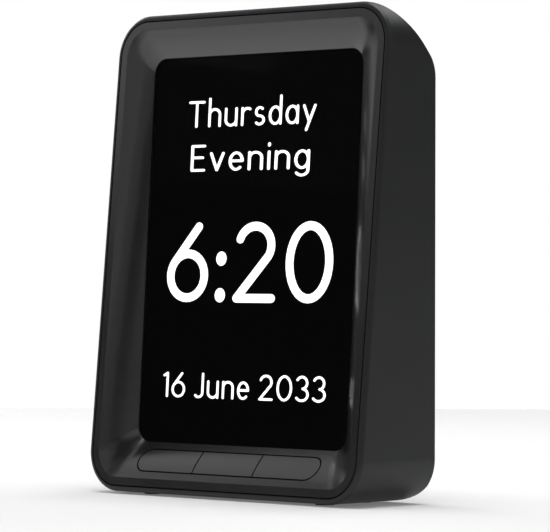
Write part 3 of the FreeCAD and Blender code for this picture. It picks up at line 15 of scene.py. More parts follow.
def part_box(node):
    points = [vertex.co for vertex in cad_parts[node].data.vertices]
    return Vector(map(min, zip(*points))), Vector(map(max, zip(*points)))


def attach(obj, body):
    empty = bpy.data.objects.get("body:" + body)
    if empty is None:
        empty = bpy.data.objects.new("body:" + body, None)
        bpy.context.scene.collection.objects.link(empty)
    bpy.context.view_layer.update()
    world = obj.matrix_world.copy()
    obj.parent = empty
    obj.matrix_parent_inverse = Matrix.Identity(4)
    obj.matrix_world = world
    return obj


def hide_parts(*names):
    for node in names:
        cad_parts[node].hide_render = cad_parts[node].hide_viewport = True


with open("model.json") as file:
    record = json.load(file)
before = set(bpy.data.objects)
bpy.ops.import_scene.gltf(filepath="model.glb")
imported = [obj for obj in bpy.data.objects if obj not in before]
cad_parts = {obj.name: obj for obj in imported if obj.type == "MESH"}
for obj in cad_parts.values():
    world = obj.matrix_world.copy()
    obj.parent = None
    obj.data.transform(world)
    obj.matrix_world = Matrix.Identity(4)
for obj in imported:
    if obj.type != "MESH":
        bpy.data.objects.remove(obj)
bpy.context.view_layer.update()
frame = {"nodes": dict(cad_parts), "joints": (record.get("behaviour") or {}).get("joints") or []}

bl_info = {
    "name": "Day Clock Dressing",
    "version": (1, 0, 0),
    "blender": (4, 5, 0),
    "location": "View3D > Sidebar > Day Clock",
    "description": "Finishes, display lettering and small fittings for a day clock",
    "category": "Object",
}

MM = 0.001
CLOCK = "clock_body"
KEY_SIDES = ("left", "middle", "right")
# points nearer than SAME_PLACE are one point; a corner nearer than ON_FACE to a face is on it
SAME_PLACE = 1e-6
ON_FACE = 1e-5


# ---------------------------------------------------------------- where the display is


def find_display():
    """The front of the display panel: its foot, its upward direction and its outward normal."""
    corners = [Vector(v.co) for v in frame["nodes"]["lcd_panel"].data.vertices]
    foot = min(corners, key=lambda point: point.y)
    head = max(corners, key=lambda point: point.z)
    upward = Vector((0, head.y - foot.y, head.z - foot.z)).normalized()
    outward = Vector((1, 0, 0)).cross(upward)
    return Vector((0, foot.y, foot.z)), upward, outward


PANEL_FOOT, PANEL_UP, PANEL_OUT = find_display()


def on_panel(across, height, proud):
    """A point given from the middle of the panel's lower edge, and how far it stands proud."""
    return PANEL_FOOT + Vector((across, 0, 0)) + PANEL_UP * height + PANEL_OUT * proud


# ---------------------------------------------------------------- settings


def colour_setting(name, description, colour):
    return FloatVectorProperty(name=name, description=description, subtype="COLOR", size=3, default=colour)


def length_setting(name, description, length):
    return FloatProperty(name=name, description=description, default=length, unit="LENGTH")


def share_setting(name, description, share):
    return FloatProperty(name=name, description=description, default=share, min=0, max=1, subtype="FACTOR")


class HousingSettings(bpy.types.PropertyGroup):
    shell_colour: colour_setting("Housing colour", "Colour of the housing", (0.0138, 0.0143, 0.0154))
    frame_colour: colour_setting("Frame colour", "Colour of the frame and keys", (0.0117, 0.0121, 0.0133))
    shell_roughness: share_setting("Housing roughness", "Roughness of the housing", 0.40)
    frame_roughness: share_setting("Frame roughness", "Roughness of the front frame", 0.22)
    edge_radius: length_setting("Edge rounding", "Rounding that small moulded edges show", 0.2 * MM)


class DisplaySettings(bpy.types.PropertyGroup):
    weekday: StringProperty(name="Weekday", description="First line", default="Thursday")
    day_part: StringProperty(name="Part of the day", description="Second line", default="Evening")
    time: StringProperty(name="Time", description="Large digits", default="6:20")
    date: StringProperty(name="Date", description="Last line", default="16 June 2033")
    letter_height: length_setting("Letter height", "Height of a capital in the upper two lines", 11.4 * MM)
    date_height: length_setting("Date height", "Height of a digit in the date", 10.8 * MM)
    digit_height: length_setting("Digit height", "Height of the large digits", 34.0 * MM)
    word_pen: share_setting("Word stroke", "Stroke of the small lines, as a share of their height", 0.105)
    digit_pen: share_setting("Digit stroke", "Stroke of the time, as a share of its height", 0.122)
    glow: share_setting("Glow", "Brightness of the letters", 1.0)


class StageSettings(bpy.types.PropertyGroup):
    floor_reach: length_setting("Floor reach", "From the camera to the far edge of the floor", 2.41)
    focal_length: FloatProperty(
        name="Focal length", description="Camera lens, in millimetres", default=229.09, min=1, unit="CAMERA"
    )


# ---------------------------------------------------------------- finishes


# the part of a noise's range over which a tint changes, and how finely an edge's rounding is traced
TINT_BAND = (0.35, 0.65)
BEVEL_SAMPLES = 8
# how far wear varies the roughness of plastic, either way, and smear that of glass
GLOSS_WEAR = 0.03
SMEAR = 0.03
# the duller gloss of the housing, and the higher one of the frame and the keys, with its relief
SHELL_GLOSS = 0.36
FRAME_GLOSS = 0.96
FRAME_RELIEF = 0.004 * MM
# how fine the grain of smooth plastic is
FINE_GRAIN = 9000.0
# how fine the marks on metal are along x, y and z: brushed along x, or satin
BRUSHED = (60, 2500, 2500)
SATIN = (900, 900, 900)


class Recipe:
    """A material under construction, with short calls for the nodes that these finishes use."""

    def __init__(self, name, colour, roughness, metallic=0.0):
        self.material = bpy.data.materials.new(name)
        self.material.use_nodes = True
        self.tree = self.material.node_tree
        self.shader = self.tree.nodes["Principled BSDF"]
        self.shader.inputs["Base Color"].default_value = (*colour, 1)
        self.shader.inputs["Roughness"].default_value = roughness
        self.shader.inputs["Metallic"].default_value = metallic
        self.place = self.add("ShaderNodeTexCoord").outputs["Object"]

    def add(self, kind, **inputs):
        """A new node. An input is named with _ for each space."""
        node = self.tree.nodes.new(kind)
        for name, value in inputs.items():
            node.inputs[name.replace("_", " ")].default_value = value
        return node

    def link(self, source, target):
        self.tree.links.new(source, target)

    def set(self, **values):
        """Set sockets of the shader, named as in add."""
        for name, value in values.items():
            self.shader.inputs[name.replace("_", " ")].default_value = value

    def noise(self, scale, detail=2.0, roughness=0.5):
        node = self.add("ShaderNodeTexNoise", Scale=scale, Detail=detail, Roughness=roughness)
        self.link(self.place, node.inputs["Vector"])
        return node.outputs["Fac"]

    def spread(self, source, low, high):
        """Turn a 0 to 1 signal into a range of values."""
        node = self.add("ShaderNodeMapRange", To_Min=low, To_Max=high)
        self.link(source, node.inputs["Value"])
        return node.outputs["Result"]

    def tint(self, source, dark, light):
        """Let a signal turn the colour from dark to light."""
        node = self.add("ShaderNodeValToRGB")
        for stop, colour, position in zip(node.color_ramp.elements, (dark, light), TINT_BAND):
            stop.color = (*colour, 1)
            stop.position = position
        self.link(source, node.inputs["Fac"])
        self.link(node.outputs["Color"], self.shader.inputs["Base Color"])

    def relief(self, source, strength, distance, edge=0.0):
        """Fine relief on the surface, on top of rounded edges if edge is given."""
        bump = self.add("ShaderNodeBump", Strength=strength, Distance=distance)
        self.link(source, bump.inputs["Height"])
        if edge:
            bevel = self.add("ShaderNodeBevel", Radius=edge)
            bevel.samples = BEVEL_SAMPLES
            self.link(bevel.outputs["Normal"], bump.inputs["Normal"])
        self.link(bump.outputs["Normal"], self.shader.inputs["Normal"])


def shade(colour, factor):
    """A colour made darker or lighter."""
    return tuple(min(channel * factor, 1.0) for channel in colour)


def moulded_plastic(name, colour, roughness, grain=5200.0, edge=0.0, depth=0.012 * MM, gloss=0.5):
    """Moulded plastic: fine spark-eroded grain, faint flow marks and slight wear in the gloss."""
    recipe = Recipe(name, colour, roughness)
    recipe.set(Specular_IOR_Level=gloss)
    flow = recipe.noise(38.0, detail=4.0)
    recipe.tint(flow, shade(colour, 0.92), shade(colour, 1.08))
    wear = recipe.spread(flow, roughness - GLOSS_WEAR, roughness + GLOSS_WEAR)
    recipe.link(wear, recipe.shader.inputs["Roughness"])
    recipe.relief(recipe.noise(grain, detail=1.0), 0.35, depth, edge)
    return recipe.material


def frame_plastic(name, edge):
    """The finer plastic of the front frame and the keys."""
    look, _ = settings()
    return moulded_plastic(
        name, look.frame_colour, look.frame_roughness, FINE_GRAIN, edge, FRAME_RELIEF, FRAME_GLOSS
    )


def soft_rubber(name, colour, gloss=0.5):
    """Rubber or foam: dull, with a fine uneven skin."""
    recipe = Recipe(name, colour, 0.85)
    recipe.set(Specular_IOR_Level=gloss)
    recipe.tint(recipe.noise(700.0), shade(colour, 0.8), shade(colour, 1.25))
    recipe.relief(recipe.noise(3000.0), 0.5, 0.03 * MM)
    return recipe.material


def plated_metal(name, colour, roughness, marks=BRUSHED):
    """Sheet metal or a screw, brushed or satin."""
    recipe = Recipe(name, colour, roughness, metallic=1.0)
    stretch = recipe.add("ShaderNodeMapping", Scale=marks)
    recipe.link(recipe.place, stretch.inputs["Vector"])
    lines = recipe.add("ShaderNodeTexNoise", Scale=1.0, Detail=2.0)
    recipe.link(stretch.outputs["Vector"], lines.inputs["Vector"])
    recipe.tint(lines.outputs["Fac"], shade(colour, 0.85), shade(colour, 1.1))
    recipe.relief(lines.outputs["Fac"], 0.2, 0.01 * MM)
    return recipe.material


def circuit_board(name):
    """Green solder resist over copper tracks, which show as slightly raised paler lines."""
    recipe = Recipe(name, (0.01, 0.09, 0.035), 0.32)
    tracks = recipe.add("ShaderNodeTexBrick", Scale=95.0)
    tracks.inputs["Color1"].default_value = (0.008, 0.075, 0.028, 1)
    tracks.inputs["Color2"].default_value = (0.012, 0.095, 0.036, 1)
    tracks.inputs["Mortar"].default_value = (0.03, 0.17, 0.07, 1)
    tracks.inputs["Mortar Size"].default_value = 0.03
    recipe.link(recipe.place, tracks.inputs["Vector"])
    recipe.link(tracks.outputs["Color"], recipe.shader.inputs["Base Color"])
    recipe.relief(tracks.outputs["Fac"], 0.3, 0.03 * MM)
    return recipe.material


def cable_film(name, colour):
    """Flat cable: narrow conductors run its length under a clear film."""
    recipe = Recipe(name, colour, 0.35)
    stripes = recipe.add("ShaderNodeTexWave", Scale=320.0)
    stripes.wave_type = "BANDS"
    stripes.bands_direction = "X"
    recipe.link(recipe.place, stripes.inputs["Vector"])
    recipe.tint(stripes.outputs["Fac"], shade(colour, 0.55), colour)
    return recipe.material


def window_glass(name):
    """Clear cover glass with a trace of smear. Its index is low, as an anti-reflection coat makes it."""
    recipe = Recipe(name, (1, 1, 1), 0.0)
    recipe.set(Transmission_Weight=1.0, IOR=1.06)
    smear = recipe.noise(14.0, detail=5.0)
    recipe.link(recipe.spread(smear, 0.0, SMEAR), recipe.shader.inputs["Roughness"])
    return recipe.material


# what the lit display shows where it is black
BLACK_LEVEL = (0.0018, 0.0018, 0.0019)


def dark_display(name):
    """The display's front: almost black, with its pixel grid and a trace of light leaking through."""
    recipe = Recipe(name, (0.0005, 0.0005, 0.0006), 0.5)
    recipe.set(Specular_IOR_Level=0.0, Emission_Color=(*BLACK_LEVEL, 1), Emission_Strength=1.0)
    grid = recipe.add("ShaderNodeTexChecker", Scale=4000.0)
    recipe.link(recipe.place, grid.inputs["Vector"])
    recipe.tint(grid.outputs["Fac"], (0.0004, 0.0004, 0.0005), (0.0006, 0.0006, 0.0007))
    return recipe.material


def glowing_letters(name, glow):
    """The display where it is lit."""
    recipe = Recipe(name, (0.9, 0.9, 0.9), 0.5)
    recipe.tint(recipe.noise(5000.0), (0.88, 0.88, 0.88), (0.92, 0.92, 0.92))
    recipe.set(Emission_Color=(1, 1, 1, 1), Emission_Strength=glow)
    return recipe.material


# ---------------------------------------------------------------- nodes and pieces


def settings():
    """The settings of the housing and of the display."""
    return bpy.context.scene.day_clock_housing, bpy.context.scene.day_clock_display


def dress(node, material):
    """Give a node of the frame one material."""
    item = frame["nodes"][node]
    item.data.materials.clear()
    item.data.materials.append(material)


def new_piece(name, mesh, material, body):
    """A piece of the scene's own, which rides on a body."""
    item = bpy.data.objects.new(name, mesh)
    bpy.context.scene.collection.objects.link(item)
    mesh.materials.append(material)
    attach(item, body)
    return item


def finished_mesh(name, shape, smooth_angle=None):
    """Turn a bmesh into a mesh with outward normals, smooth up to an angle."""
    bmesh.ops.remove_doubles(shape, verts=shape.verts, dist=0.1 * SAME_PLACE)
    bmesh.ops.recalc_face_normals(shape, faces=shape.faces)
    if smooth_angle is not None:
        for face in shape.faces:
            face.smooth = True
        for edge in shape.edges:
            if len(edge.link_faces) == 2:
                edge.smooth = edge.calc_face_angle(0.0) < smooth_angle
    mesh = bpy.data.meshes.new(name)
    shape.to_mesh(mesh)
    shape.free()
    return mesh


# ---------------------------------------------------------------- housing, frame and keys


class DAYCLOCK_OT_dress_housing(bpy.types.Operator):
    """Give the housing and its feet their finishes"""

    bl_idname = "day_clock.dress_housing"
    bl_label = "Housing and feet"

    def execute(self, context):
        look, _ = settings()
        black = moulded_plastic(
            "black_housing_plastic",
            look.shell_colour,
            look.shell_roughness,
            edge=look.edge_radius,
            gloss=SHELL_GLOSS,
        )
        dress("housing_shell", black)
        dress("rubber_feet", soft_rubber("foot_rubber", (0.012, 0.012, 0.012)))
        return {"FINISHED"}


class DAYCLOCK_OT_dress_front(bpy.types.Operator):
    """Give the front frame, the keys and their plungers their finishes"""

    bl_idname = "day_clock.dress_front"
    bl_label = "Front frame and keys"

    def execute(self, context):
        look, _ = settings()
        dress("front_bezel", frame_plastic("black_frame_plastic", look.edge_radius))
        keys = frame_plastic("black_key_plastic", 0.5 * look.edge_radius)
        plungers = moulded_plastic("plunger_plastic", (0.5, 0.5, 0.47), 0.45)
        for side in KEY_SIDES:
            dress(f"{side}_key", keys)
            dress(f"{side}_plunger", plungers)
        return {"FINISHED"}


# ---------------------------------------------------------------- painted shade in the seams


# A shade bead is a near-black bead in a joint, painted shade that makes the seam read as a dark line. Its
# section is a list of (outward, up) points about an outline: it laps over the joint's edge, stands up to a
# crown in the middle and reaches down into the joint.
KEY_GAP = 0.35 * MM
PARTING_GAP = 0.25 * MM
SHADE_BEAD_LAP = 0.15 * MM
SHADE_BEAD_EDGE = 0.015 * MM
SHADE_BEAD_CROWN = 0.05 * MM
SHADE_BEAD_DEPTH = 0.4 * MM
SHADE_BEAD_CLEARANCE = 0.01 * MM
SHADE_BEAD_SHARP_ANGLE = math.radians(40)
# how squarely a face looks some way: a crowned key's facets or a leaning front, and a flat rim
ROUGHLY_SQUARE = 0.9
QUITE_SQUARE = 0.9995


def outline_of(node, out, squareness):
    """The outer outline of a node's foremost face along out, as pairs of a point and a normal."""
    shape = bmesh.new()
    shape.from_mesh(frame["nodes"][node].data)
    bmesh.ops.remove_doubles(shape, verts=shape.verts, dist=SAME_PLACE)
    faces = {face for face in shape.faces if face.normal.dot(out) > squareness}
    # a dict keeps the order of its keys, so each run starts and follows an outline the same way
    borders = dict.fromkeys(e for e in shape.edges if len(faces.intersection(e.link_faces)) == 1)
    loops = []
    while borders:
        loop = list(borders.popitem()[0].verts)
        step = True
        while step:
            step = next((edge for edge in loop[-1].link_edges if edge in borders), None)
            if step:
                del borders[step]
                loop.append(step.other_vert(loop[-1]))
        loops.append(loop[:-1])

    def rank(loop):
        """The foremost loops first, to a tenth of a millimetre, and of those the longest."""
        height = sum(vert.co.dot(out) for vert in loop) / len(loop)
        length = sum((one.co - other.co).length for one, other in zip(loop, loop[1:]))
        return round(height, 4), length

    outline = []
    for vert in max(loops, key=rank):
        normal = sum((face.normal for face in vert.link_faces if face in faces), Vector())
        outline.append((vert.co.copy(), normal.normalized()))
    shape.free()
    return outline


def middle_of(outline):
    return sum((point for point, _ in outline), Vector()) / len(outline)


def bead_mesh(name, outline, out, section):
    """Run a closed section round a closed outline. out is the way that the outline's part looks."""
    middle = middle_of(outline)
    count = len(outline)
    shape = bmesh.new()
    rings = []
    for index, (point, normal) in enumerate(outline):
        ways = []
        for first, second in ((index - 1, index), (index, (index + 1) % count)):
            along = outline[second][0] - outline[first][0]
            along = (along - along.dot(out) * out).normalized()
            way = along.cross(out)
            ways.append(way if way.dot(point - middle) > 0 else -way)
        away = (ways[0] + ways[1]) / (1 + ways[0].dot(ways[1]))
        level = away - out * (away.dot(normal) / out.dot(normal))
        rings.append([shape.verts.new(point + across * level + up * out) for across, up in section])
    for ring_here, ring_after in zip(rings, rings[1:] + rings[:1]):
        for side in range(len(section)):
            after = (side + 1) % len(section)
            shape.faces.new((ring_here[side], ring_here[after], ring_after[after], ring_after[side]))
    return finished_mesh(name, shape, SHADE_BEAD_SHARP_ANGLE)


def slot_side(side, outline, down):
    """The points of a key's outline that face the slot, and not only the next key."""
    places = [point.x for point, _ in outline]
    slopes = [point.dot(down) for point, _ in outline]
    points = []
    for point, normal in outline:
        by_next_key = side != "left" and point.x < min(places) + ON_FACE
        by_next_key |= side != "right" and point.x > max(places) - ON_FACE
        is_between = min(slopes) + ON_FACE < point.dot(down) < max(slopes) - ON_FACE
        if not (by_next_key and is_between):
            points.append((point, normal))
    return points


class DAYCLOCK_OT_fit_shade_beads(bpy.types.Operator):
    """Lay thin near-black beads in the joints round the front frame and round the keys, as painted shade in
    the seams
    """

    bl_idname = "day_clock.fit_seals"
    bl_label = "Shade_beads"

    def execute(self, context):
        # painted shade: the beads are near-black and almost without gloss, so the seams read as dark lines
        # where the gaps hold only shadow
        seam_shade = soft_rubber("seam_shade_black", (0.0016, 0.0016, 0.0016), gloss=0.02)
        self.fit_keys(seam_shade)
        self.fit_parting(seam_shade)
        return {"FINISHED"}

    def fit_keys(self, seam_shade):
        """One near-black bead of painted shade on each key, and one in the slot round all three. They meet
        in mid gap.
        """
        press = next(joint for joint in frame["joints"] if joint["child"] == "middle_key_unit")
        out = -Vector(press["axis"]).normalized()
        down = Vector((1, 0, 0)).cross(out)
        half = (KEY_GAP - SHADE_BEAD_CLEARANCE) / 2
        on_key = ((-SHADE_BEAD_LAP, SHADE_BEAD_EDGE), (0, SHADE_BEAD_CROWN), (half, 0), (half, -SHADE_BEAD_DEPTH))
        on_key += ((SHADE_BEAD_CLEARANCE, -SHADE_BEAD_DEPTH), (SHADE_BEAD_CLEARANCE, 0))
        round_keys = []
        for side in KEY_SIDES:
            outline = outline_of(f"{side}_key", out, ROUGHLY_SQUARE)
            name = f"{side}_key_shade_bead"
            mesh = bead_mesh(name, outline, out, on_key)
            new_piece(name, mesh, seam_shade, f"{side}_key_unit")
            round_keys += slot_side(side, outline, down)
        middle = middle_of(round_keys)
        round_keys.sort(key=lambda item: math.atan2((item[0] - middle).dot(down), item[0].x))
        near, wall = (KEY_GAP + SHADE_BEAD_CLEARANCE) / 2, KEY_GAP - SHADE_BEAD_CLEARANCE
        on_slot = ((near, 0), (near, -SHADE_BEAD_DEPTH), (wall, -SHADE_BEAD_DEPTH), (wall, 0))
        on_slot += ((KEY_GAP + SHADE_BEAD_LAP, SHADE_BEAD_EDGE), (KEY_GAP, SHADE_BEAD_CROWN))
        mesh = bead_mesh("key_slot_shade_bead", round_keys, out, on_slot)
        new_piece("key_slot_shade_bead", mesh, seam_shade, CLOCK)

    def fit_parting(self, seam_shade):
        """The near-black bead of painted shade in the joint between the front frame's rim and the housing.
        """
        faces = frame["nodes"]["front_bezel"].data.polygons
        rim = max(faces, key=lambda face: face.area if face.normal.y < -ROUGHLY_SQUARE else 0)
        out = rim.normal.copy()
        near, far = SHADE_BEAD_CLEARANCE, PARTING_GAP - SHADE_BEAD_CLEARANCE
        section = ((-SHADE_BEAD_LAP, SHADE_BEAD_EDGE), (PARTING_GAP / 2, SHADE_BEAD_CROWN))
        section += ((PARTING_GAP + SHADE_BEAD_LAP, SHADE_BEAD_EDGE), (far, 0), (far, -SHADE_BEAD_DEPTH))
        section += ((near, -SHADE_BEAD_DEPTH), (near, 0))
        outline = outline_of("front_bezel", out, QUITE_SQUARE)
        mesh = bead_mesh("parting_shade_bead", outline, out, section)
        new_piece("parting_shade_bead", mesh, seam_shade, CLOCK)


# ---------------------------------------------------------------- display


class DAYCLOCK_OT_dress_display(bpy.types.Operator):
    """Give the window, the display layers and their bracket their finishes"""

    bl_idname = "day_clock.dress_display"
    bl_label = "Display stack"

    def execute(self, context):
        dress("display_lens", window_glass("display_glass"))
        dress("lcd_panel", dark_display("panel_glass"))
        dress("backlight_unit", plated_metal("light_sheet", (0.7, 0.7, 0.68), 0.4))
        dress("display_bracket", plated_metal("zinc_sheet", (0.62, 0.63, 0.65), 0.38))
        dress("lens_tape", moulded_plastic("black_tape", (0.004, 0.004, 0.004), 0.7))
        dress("display_gasket", soft_rubber("black_foam", (0.003, 0.003, 0.003)))
        return {"FINISHED"}


# Letters are drawn as strokes of one pen. Heights are in capital heights: a capital reaches 1,
# a small letter SMALL, a tall letter TALL, and a tail goes down to TAIL.
SMALL = 0.68
TALL = 1.12
TAIL = -0.30
# the radius of a round letter, and where the arch of a small letter springs from
BOWL = 0.23
ARCH = SMALL - BOWL
LETTER_GAP = 0.27
WORD_GAP = 0.30
# a dot's width in pen widths, the degrees between two points of an arc, and the steps of a half turn
DOT = 1.65
ARC_STEP = 10.0
TIP_STEPS = 8
# above the panel's glass: the first stroke, each further stroke, and how thick a stroke is
LETTER_LIFT = 0.15 * MM
STROKE_LIFT = 0.004 * MM
LETTER_DEPTH = 0.1 * MM
# where a line stands on the panel, from the middle of its lower edge: left, right and baseline
LINE_PLACES = {
    "weekday": (-41.9 * MM, 33.0 * MM, 139.3 * MM),
    "day_part": (-39.4 * MM, 30.5 * MM, 120.5 * MM),
    "time": (-50.7 * MM, 46.2 * MM, 64.8 * MM),
    "date": (-50.1 * MM, 45.3 * MM, 24.1 * MM),
}


def line(*numbers):
    """A stroke through points that are given as x, y, x, y and so on."""
    return list(zip(numbers[::2], numbers[1::2]))


def arc(x, y, across, up, first, last):
    """Points along part of an ellipse, from one angle to another."""
    steps = max(2, round(abs(last - first) / ARC_STEP))
    angles = [math.radians(first + (last - first) * step / steps) for step in range(steps + 1)]
    return [(x + across * math.cos(angle), y + up * math.sin(angle)) for angle in angles]


def ring(x, y, across, up):
    """A whole ellipse, as a closed stroke."""
    return arc(x, y, across, up, 0, 360)


def dot(x, y):
    """A stroke of one point."""
    return [(x, y)]


ROUND = ring(BOWL, SMALL / 2, BOWL, SMALL / 2)
ARCH_STROKE = arc(BOWL, ARCH, BOWL, BOWL, 180, 0) + line(2 * BOWL, 0)

# the letters and digits that the lines use
LETTERS = {
    "T": [line(0, 1, 0.62, 1), line(0.31, 1, 0.31, 0)],
    "E": [line(0, 0, 0, 1), line(0, 1, 0.46, 1), line(0, 0, 0.46, 0), line(0, 0.52, 0.4, 0.52)],
    "J": [line(0.36, 1) + arc(0.17, 0.19, 0.19, 0.19, 0, -140)],
    "a": [ROUND, line(2 * BOWL, SMALL, 2 * BOWL, 0)],
    "d": [ROUND, line(2 * BOWL, TALL, 2 * BOWL, 0)],
    "g": [ROUND, line(2 * BOWL, SMALL) + arc(BOWL, -0.08, BOWL, 0.22, 0, -145)],
    "e": [line(0.01, 0.35, 0.45, 0.35), arc(BOWL, SMALL / 2, BOWL, SMALL / 2, 2, 312)],
    "h": [line(0, TALL, 0, 0), ARCH_STROKE],
    "i": [line(0, SMALL, 0, 0), dot(0, 0.98)],
    "n": [line(0, SMALL, 0, 0), ARCH_STROKE],
    "r": [line(0, SMALL, 0, 0), arc(0.22, 0.42, 0.22, 0.25, 180, 60)],
    "s": [arc(0.18, 0.51, 0.16, 0.17, 45, 270) + arc(0.18, 0.17, 0.18, 0.17, 90, -140)],
    "u": [line(0, SMALL) + arc(BOWL, BOWL, BOWL, BOWL, 180, 360), line(2 * BOWL, SMALL, 2 * BOWL, 0)],
    "v": [line(0, SMALL, 0.23, 0), line(0.23, 0, 0.46, SMALL)],
    "y": [line(0, SMALL, 0.235, 0.04), line(0.47, SMALL, 0.12, TAIL)],
    "0": [ring(0.31, 0.5, 0.31, 0.5)],
    "1": [line(0, 0.9, 0.16, 1), line(0.16, 1, 0.16, 0)],
    "2": [arc(0.27, 0.73, 0.26, 0.27, 160, -32) + line(0, 0), line(0, 0, 0.56, 0)],
    "3": [arc(0.25, 0.745, 0.24, 0.255, 150, -75), arc(0.25, 0.255, 0.28, 0.255, 80, -145)],
    "6": [ring(0.28, 0.31, 0.28, 0.31), line(0.44, 1, 0.066, 0.51)],
    ":": [dot(0, 0.04), dot(0, 0.55)],
}


def lay_out(text):
    """Strokes of a line of text, each moved to its place, and the line's width."""
    strokes, pen_x = [], 0.0
    for letter in text:
        if letter == " ":
            pen_x += WORD_GAP
            continue
        glyph = LETTERS[letter]
        across = [x for stroke in glyph for x, _ in stroke]
        strokes += [[(pen_x + x - min(across), y) for x, y in stroke] for stroke in glyph]
        pen_x += max(across) - min(across) + LETTER_GAP
    return strokes, pen_x - LETTER_GAP


def disc(shape, centre, radius, put, first=0.0, turn=2 * math.pi):
    """Corners of a round tip or dot, from one angle on."""
    steps = round(TIP_STEPS * turn / math.pi)
    angles = [first + turn * step / steps for step in range(steps)]
    return [shape.verts.new(put(centre + radius * Vector((math.cos(a), math.sin(a))))) for a in angles]


def stroke_faces(shape, stroke, pen, put):
    """One stroke of the pen as a flat strip with round ends. put turns (x, y) into a vertex place."""
    points = [Vector(stroke[0])]
    for point in stroke[1:]:
        if (Vector(point) - points[-1]).length > SAME_PLACE:
            points.append(Vector(point))
    is_closed = (points[0] - points[-1]).length < SAME_PLACE
    if is_closed:
        points.pop()
    count = len(points)
    sides = []
    for index, point in enumerate(points):
        before = points[index - 1] if index or is_closed else point
        after = points[(index + 1) % count] if index < count - 1 or is_closed else point
        along = (after - before).normalized()
        offset = Vector((-along.y, along.x)) * pen / 2
        sides.append((point + offset, point - offset))
    verts = [[shape.verts.new(put(side)) for side in pair] for pair in sides]
    pairs = list(zip(verts, verts[1:] + verts[:1])) if is_closed else list(zip(verts, verts[1:]))
    for (left, right), (next_left, next_right) in pairs:
        shape.faces.new((left, right, next_right, next_left))
    if is_closed:
        return
    for end, beyond in ((0, 1), (-1, -2)):
        ahead = (points[end] - points[beyond]).normalized()
        start = math.atan2(ahead.y, ahead.x) - math.pi / 2
        left, right = verts[end] if end else reversed(verts[end])
        tip = disc(shape, points[end], pen / 2, put, start, math.pi)
        shape.verts.remove(tip.pop(0))
        shape.faces.new([right, *tip, left])


def thicken(shape, way):
    """Turn flat faces into solids that reach as far as way."""
    faces = list(shape.faces)
    rims = [list(edge.verts) for edge in shape.edges if edge.is_boundary]
    under = {vert: shape.verts.new(vert.co + way) for vert in list(shape.verts)}
    for face in faces:
        shape.faces.new([under[vert] for vert in face.verts])
    for one, other in rims:
        shape.faces.new((one, other, under[other], under[one]))


def line_mesh(name, text, pen, height, left, right, baseline):
    """A line of text on the panel, fitted between left and right, as thin solid strokes.

    The letters are set wide, so pen is the thickness of a level stroke and an upright one is
    thicker. Each stroke lies a hair higher than the one before, so that none share a plane.
    """
    strokes, width = lay_out(text)
    scale = height / (1 + pen)
    stretch = (right - left) / ((width + pen) * scale)
    shape = bmesh.new()
    for index, stroke in enumerate(strokes):
        lift = LETTER_LIFT + STROKE_LIFT * index

        def put(point):
            across = left + (point.x + pen / 2) * scale * stretch
            return on_panel(across, baseline + (point.y + pen / 2) * scale, lift)

        def put_round(point):
            middle = Vector(stroke[0])
            across = left + (middle.x + pen / 2) * scale * stretch + (point.x - middle.x) * scale
            return on_panel(across, baseline + (point.y + pen / 2) * scale, lift)

        if len(stroke) == 1:
            shape.faces.new(disc(shape, Vector(stroke[0]), DOT * pen / 2, put_round))
        else:
            stroke_faces(shape, stroke, pen, put)
    thicken(shape, -PANEL_OUT * LETTER_DEPTH)
    return finished_mesh(name, shape)


class DAYCLOCK_OT_letter_display(bpy.types.Operator):
    """Draw the weekday, the part of the day, the time and the date on the display"""

    bl_idname = "day_clock.letter_display"
    bl_label = "Display lettering"

    def execute(self, context):
        _, look = settings()
        white = glowing_letters("display_letters", look.glow)
        lines = (
            ("weekday", look.weekday, look.word_pen, look.letter_height),
            ("day_part", look.day_part, look.word_pen, look.letter_height),
            ("time", look.time, look.digit_pen, look.digit_height),
            ("date", look.date, look.word_pen, look.date_height),
        )
        for line_name, text, pen, height in lines:
            name = f"{line_name}_text"
            mesh = line_mesh(name, text, pen, height, *LINE_PLACES[line_name])
            new_piece(name, mesh, white, CLOCK)
        return {"FINISHED"}


# ---------------------------------------------------------------- inside


class DAYCLOCK_OT_dress_electronics(bpy.types.Operator):
    """Give the boards and what is soldered to them their finishes"""

    bl_idname = "day_clock.dress_electronics"
    bl_label = "Boards and parts"

    def execute(self, context):
        board = circuit_board("green_board")
        cream = moulded_plastic("socket_cream", (0.62, 0.55, 0.38), 0.5)
        chip = moulded_plastic("chip_black", (0.012, 0.012, 0.012), 0.6, grain=FINE_GRAIN)
        film = cable_film("cable_film", (0.55, 0.52, 0.42))
        finishes = {
            "main_board": board,
            "key_board": board,
            "processor_chip": chip,
            "memory_chip": chip,
            "key_switches": chip,
            "power_inductor": moulded_plastic("ferrite", (0.03, 0.03, 0.032), 0.55),
            "smoothing_capacitors": plated_metal("can_aluminium", (0.78, 0.78, 0.8), 0.3),
            "dc_jack": moulded_plastic("socket_plastic", (0.006, 0.006, 0.006), 0.3),
            "coin_cell_holder": moulded_plastic("holder_plastic", (0.6, 0.58, 0.5), 0.5),
            "coin_cell": plated_metal("cell_steel", (0.75, 0.75, 0.75), 0.22),
            "ribbon_sockets": cream,
            "speaker_plug": cream,
            "display_ribbon": film,
            "key_ribbon": film,
            "speaker_wires": soft_rubber("wire_sleeve", (0.3, 0.01, 0.01)),
        }
        for node, material in finishes.items():
            dress(node, material)
        return {"FINISHED"}


# A cross recess: half the width of an arm, its reach and its depth, as shares of the radius of
# the head's flat, and the share of its width that is left at its bottom.
ARM_HALF = 0.16
ARM_REACH = 0.6
RECESS_DEPTH = 0.45
RECESS_TAPER = 0.55
# A screw: the flat of its head as a share of the radius, the rounding below the flat as shares of
# the radius and the height, and the flat of its point as a share of the shank's radius.
HEAD_FLAT = 0.82
HEAD_ROUNDING = ((0.95, 0.18), (1.0, 0.45))
POINT_FLAT = 0.6
CASE_HEAD_HEIGHT = 2.0 * MM
THREAD_PITCH = 1.0 * MM
THREAD_DEPTH = 0.12 * MM
